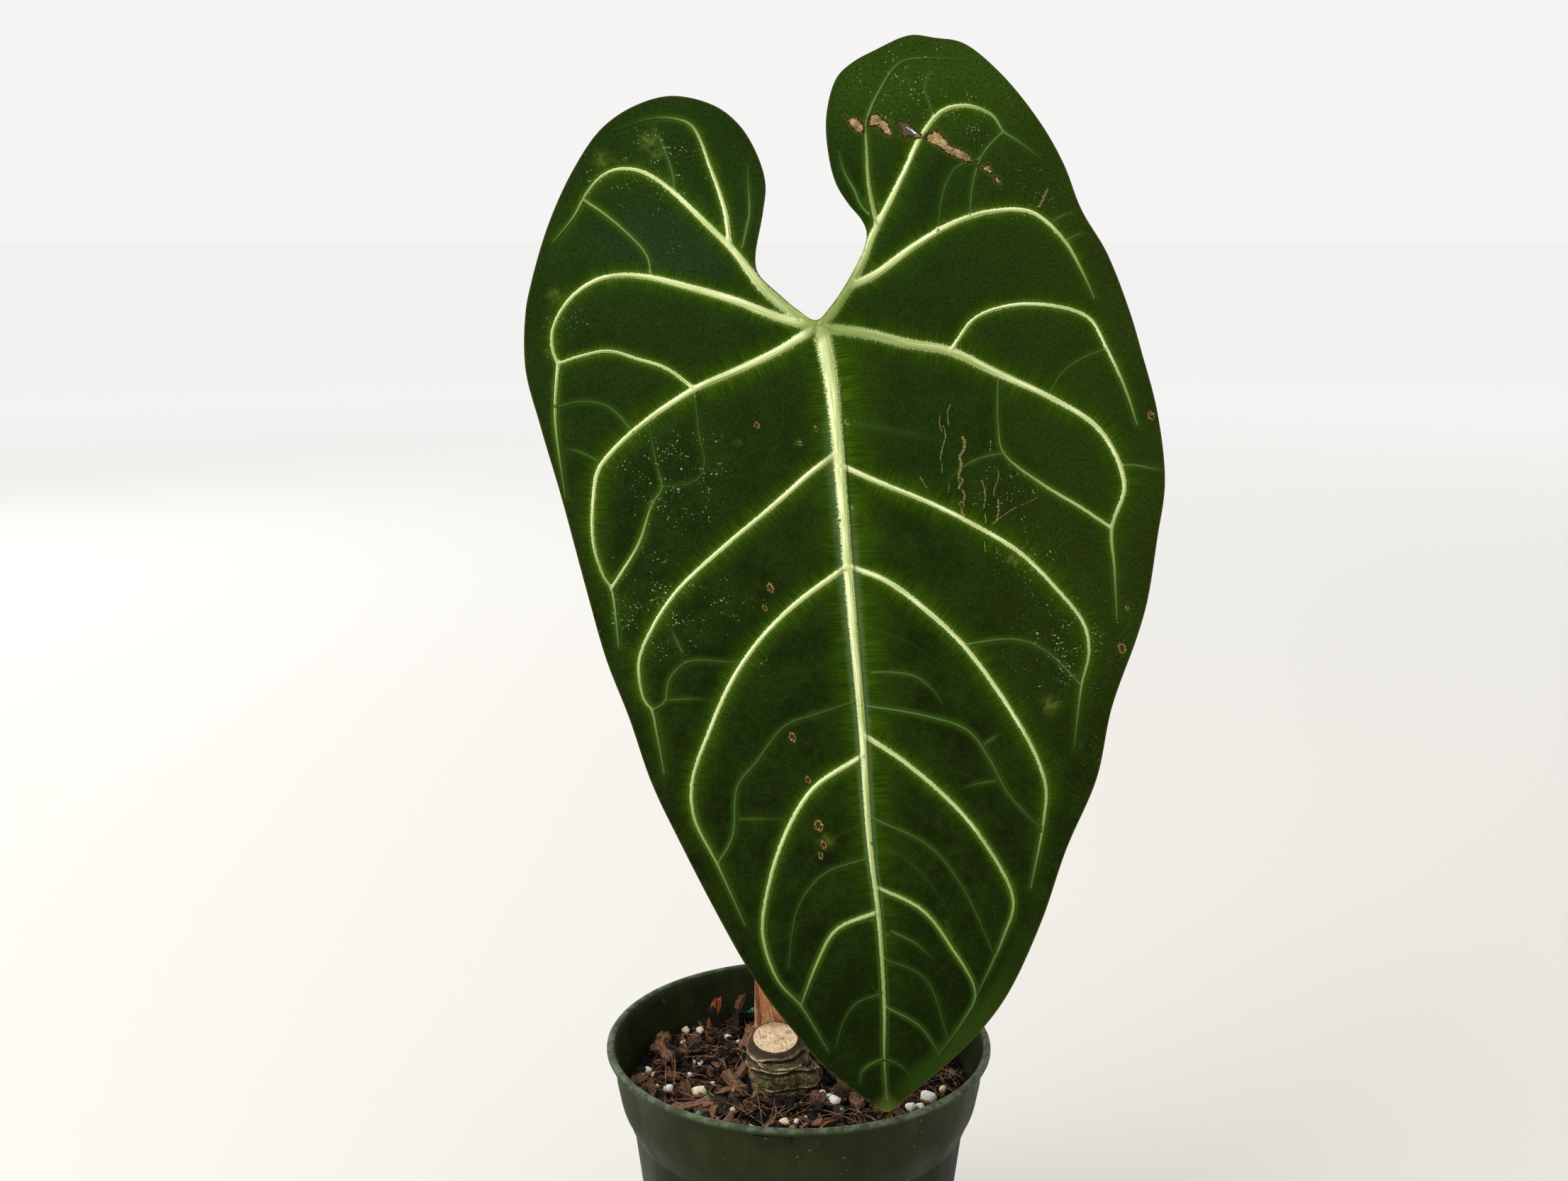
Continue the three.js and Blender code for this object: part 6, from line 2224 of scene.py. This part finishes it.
@dataclass(frozen=True)
class MixFinishes:
    """The finishes of the potting mix and what lies on it and in it."""

    effects: SharedEffects

    def soil(self) -> bpy.types.Material:
        """Makes near-black damp mix.

        Returns:
            The material.
        """
        surface = Surface("potting_mix", bump=0.9, bump_depth=0.0008, specular=0.25)
        graph = surface.start(self.effects)
        grit = graph.noise(graph.object_place(), 900, 4)
        base = graph.mottle(graph.object_place(), 240, rgb(8, 5, 4), rgb(34, 23, 17))
        return surface.close(base, grit.ramp(0.3, 0.7, 0.75, 0.98), grit)

    def bark(self, name: str, dark: Colour, light: Colour, red: Colour) -> bpy.types.Material:
        """Makes bark with lengthwise grain, each chip in its own tint.

        Args:
            name: The material's name.
            dark: The colour of its furrows.
            light: The colour of the lightest chips.
            red: The colour of the reddest chips.

        Returns:
            The material.
        """
        surface = Surface(name, bump=0.7, bump_depth=0.0005, specular=0.3)
        graph = surface.start(self.effects)
        tint = graph.attribute("tint")
        lines = graph.noise(graph.stretch(graph.attribute("grain", "Vector"), (0.5, 2.6, 2.6)), 1, 4)
        own = graph.mix(tint.ramp(0.955, 0.98), graph.mix(tint.ramp(0.3, 1), dark, light), red)
        shade = graph.mix(lines.ramp(0.58, 0.4, 0, 0.85), own, dark)
        shade = shade.coat(lines.ramp(0.6, 0.7) * tint.ramp(0.4, 1, 0, 0.6), 186, 136, 98)
        return surface.close(shade, lines.ramp(0.3, 0.7, 0.7, 0.95), lines)

    def perlite(self) -> bpy.types.Material:
        """Makes white pitted perlite, with some grains yellowed.

        Returns:
            The material.
        """
        surface = Surface("perlite", roughness=0.85, bump=0.8, bump_depth=0.0006)
        graph = surface.start(self.effects)
        grain = graph.attribute("grain", "Vector")
        pits = graph.cells(grain, 1.6)
        white = graph.mix(graph.attribute("tint").ramp(0.6, 1), rgb(254, 250, 240), rgb(246, 222, 166))
        white = white.coat(graph.noise(grain, 0.8).ramp(0.56, 0.75, 0, 0.55), 168, 140, 104)
        return surface.close(white.coat(pits.ramp(0.22, 0.05, 0, 0.6), 140, 122, 100), None, pits)

    def prill(self) -> bpy.types.Material:
        """Makes smooth blue-green feed prills.

        Returns:
            The material.
        """
        surface = Surface("feed_prill", roughness=0.42, bump=0.2)
        graph = surface.start(self.effects)
        tone = graph.mix(graph.attribute("tint").ramp(0.2, 0.8), rgb(30, 98, 92), rgb(74, 136, 116))
        spots = graph.noise(graph.attribute("grain", "Vector"), 2.2)
        return surface.close(tone.coat(spots.ramp(0.5, 0.7, 0, 0.5), 60, 60, 40), None, spots)

    def mottled(self, name: str, patch: float, dark: Colour, light: Colour, fine: float) -> bpy.types.Material:
        """Makes a plain mottled finish, for coco fibre and for root skin.

        Args:
            name: The material's name.
            patch: The scale of its patches.
            dark: The darker colour.
            light: The lighter colour.
            fine: The scale of its bump.

        Returns:
            The material.
        """
        surface = Surface(name, roughness=0.8, bump=0.4)
        graph = surface.start(self.effects)
        base = graph.mottle(graph.object_place(), patch, dark, light)
        return surface.close(base, None, graph.noise(graph.object_place(), fine))


# ---------------------------------------------------------------- studio


@dataclass
class Studio:
    """A pale floor, soft light and the camera at the photograph's angle. Lengths in metres."""

    camera_place: Place = (-0.0063, -0.7123, 0.4847)
    camera_pitch: float = math.radians(78.62)
    lens: float = 40.69
    sensor_width: float = 36.0
    world_strength: float = 0.92
    floor_size: float = 200.0
    # Name, place, side and watts of each soft light
    lamps: tuple[tuple[str, Place, float, float], ...] = (
        ("window", (-1.7, -1.2, 1.9), 1.6, 34.0), ("back", (-1.5, 1.5, 1.7), 2.0, 16.0))

    def build(self) -> None:
        """Sets the camera, the floor and the lights."""
        self.camera()
        self.floor()
        self.lights()

    def camera(self) -> None:
        """Adds the camera."""
        view = bpy.data.cameras.new("view")
        view.lens = self.lens
        view.sensor_width = self.sensor_width
        holder = bpy.data.objects.new("view", view)
        holder.location = self.camera_place
        holder.rotation_euler = (self.camera_pitch, 0, 0)
        bpy.context.scene.collection.objects.link(holder)
        bpy.context.scene.camera = holder

    def floor(self) -> None:
        """Adds the plain pale floor, which gets lighter far off."""
        deselect_all()
        bpy.ops.mesh.primitive_plane_add(size=self.floor_size)
        floor = named("floor")
        surface = Surface("pale_floor", roughness=0.85)
        graph = surface.start()
        x, y, _ = graph.object_place().parts()
        reach = graph.math("SQRT", x * x + y * y)
        tone = graph.mix(reach.ramp(0.4, 5), rgb(222, 219, 213), rgb(252, 252, 251))
        floor.data.materials.append(surface.close(tone))

    def lights(self) -> None:
        """Adds the soft lights and the pale surroundings."""
        world = bpy.data.worlds.new("surroundings")
        world.use_nodes = True
        sky = world.node_tree.nodes["Background"]
        sky.inputs["Color"].default_value = (0.985, 0.985, 0.98, 1.0)
        sky.inputs["Strength"].default_value = self.world_strength
        bpy.context.scene.world = world
        for lamp in self.lamps:
            self.area(*lamp)
        bpy.context.scene.view_settings.view_transform = "Standard"

    @staticmethod
    def area(name: str, place: Place, size: float, power: float) -> None:
        """Adds a soft light that looks at the plant.

        Args:
            name: The light's name.
            place: Where it stands.
            size: The side of its square.
            power: Its power in watts.
        """
        lamp = bpy.data.lights.new(name, "AREA")
        lamp.size = size
        lamp.energy = power
        holder = bpy.data.objects.new(name, lamp)
        holder.location = place
        aim = Vector((0, 0, 0.3)) - Vector(place)
        holder.rotation_euler = aim.to_track_quat("-Z", "Y").to_euler()
        bpy.context.scene.collection.objects.link(holder)


# ---------------------------------------------------------------- assembly


def settle(piece: bpy.types.Object, material: bpy.types.Material, slot: str, *nodes: str) -> None:
    """Dresses a piece and ties it to the frame.

    Args:
        piece: The finished piece.
        material: Its material.
        slot: The record's material slot; not used.
        *nodes: CAD nodes that it replaces.
    """
    piece.data.materials.clear()
    piece.data.materials.append(material)
    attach(piece, BODY)
    if nodes:
        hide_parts(*nodes)
    log.info("%s: %d faces", piece.name, len(piece.data.polygons))


def main() -> None:
    """Builds every piece in order."""
    logging.basicConfig(level=logging.INFO, format="%(name)s: %(message)s")
    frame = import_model()
    Studio().build()
    effects = SharedEffects()
    mix_finishes = MixFinishes(effects)

    leaf = Leaf()
    leaf_finish = LeafFinish(effects)
    blade, net = leaf.build()
    settle(blade, leaf_finish.velvet(), "leaf_velvet", "leaf_blade")
    settle(net, leaf_finish.vein(), "leaf_vein", "leaf_veins")
    stalk, stub, sheath, pot = (kind(effects) for kind in (Stalk, Stub, Sheath, NurseryPot))
    settle(stalk.build(leaf), stalk.finish(), "stalk_skin", "petiole")
    settle(stub.build(), stub.finish(), "stem_bark", "stem")
    settle(sheath.build(), sheath.finish(), "dry_sheath", "cataphyll")
    settle(pot.build(), pot.finish(), "pot_plastic", "pot")

    mix = PottingMix()
    settle(mix.bed(), mix_finishes.soil(), "potting_mix", "potting_mix")
    looks = {
        Crumb.BARK: mix_finishes.bark("bark_chip", rgb(18, 11, 7), rgb(150, 106, 76), rgb(164, 80, 38)),
        Crumb.CRUMBS: mix_finishes.bark("bark_crumb", rgb(10, 6, 5), rgb(74, 50, 37), rgb(124, 98, 74)),
        Crumb.PERLITE: mix_finishes.perlite(),
        Crumb.PRILL: mix_finishes.prill(),
    }
    for kind, look in looks.items():
        settle(mix.strewn(kind), look, "potting_mix")
    fibre = mix_finishes.mottled("coco_fibre", 90, rgb(110, 70, 42), rgb(206, 158, 108), 1500)
    settle(mix.fibres(), fibre, "potting_mix")

    roots = frame["nodes"]["roots"]
    roots.data.materials.clear()
    roots.data.materials.append(
        mix_finishes.mottled("root_skin", 120, rgb(150, 128, 92), rgb(214, 196, 156), 800))


if __name__ == "__main__":
    main()
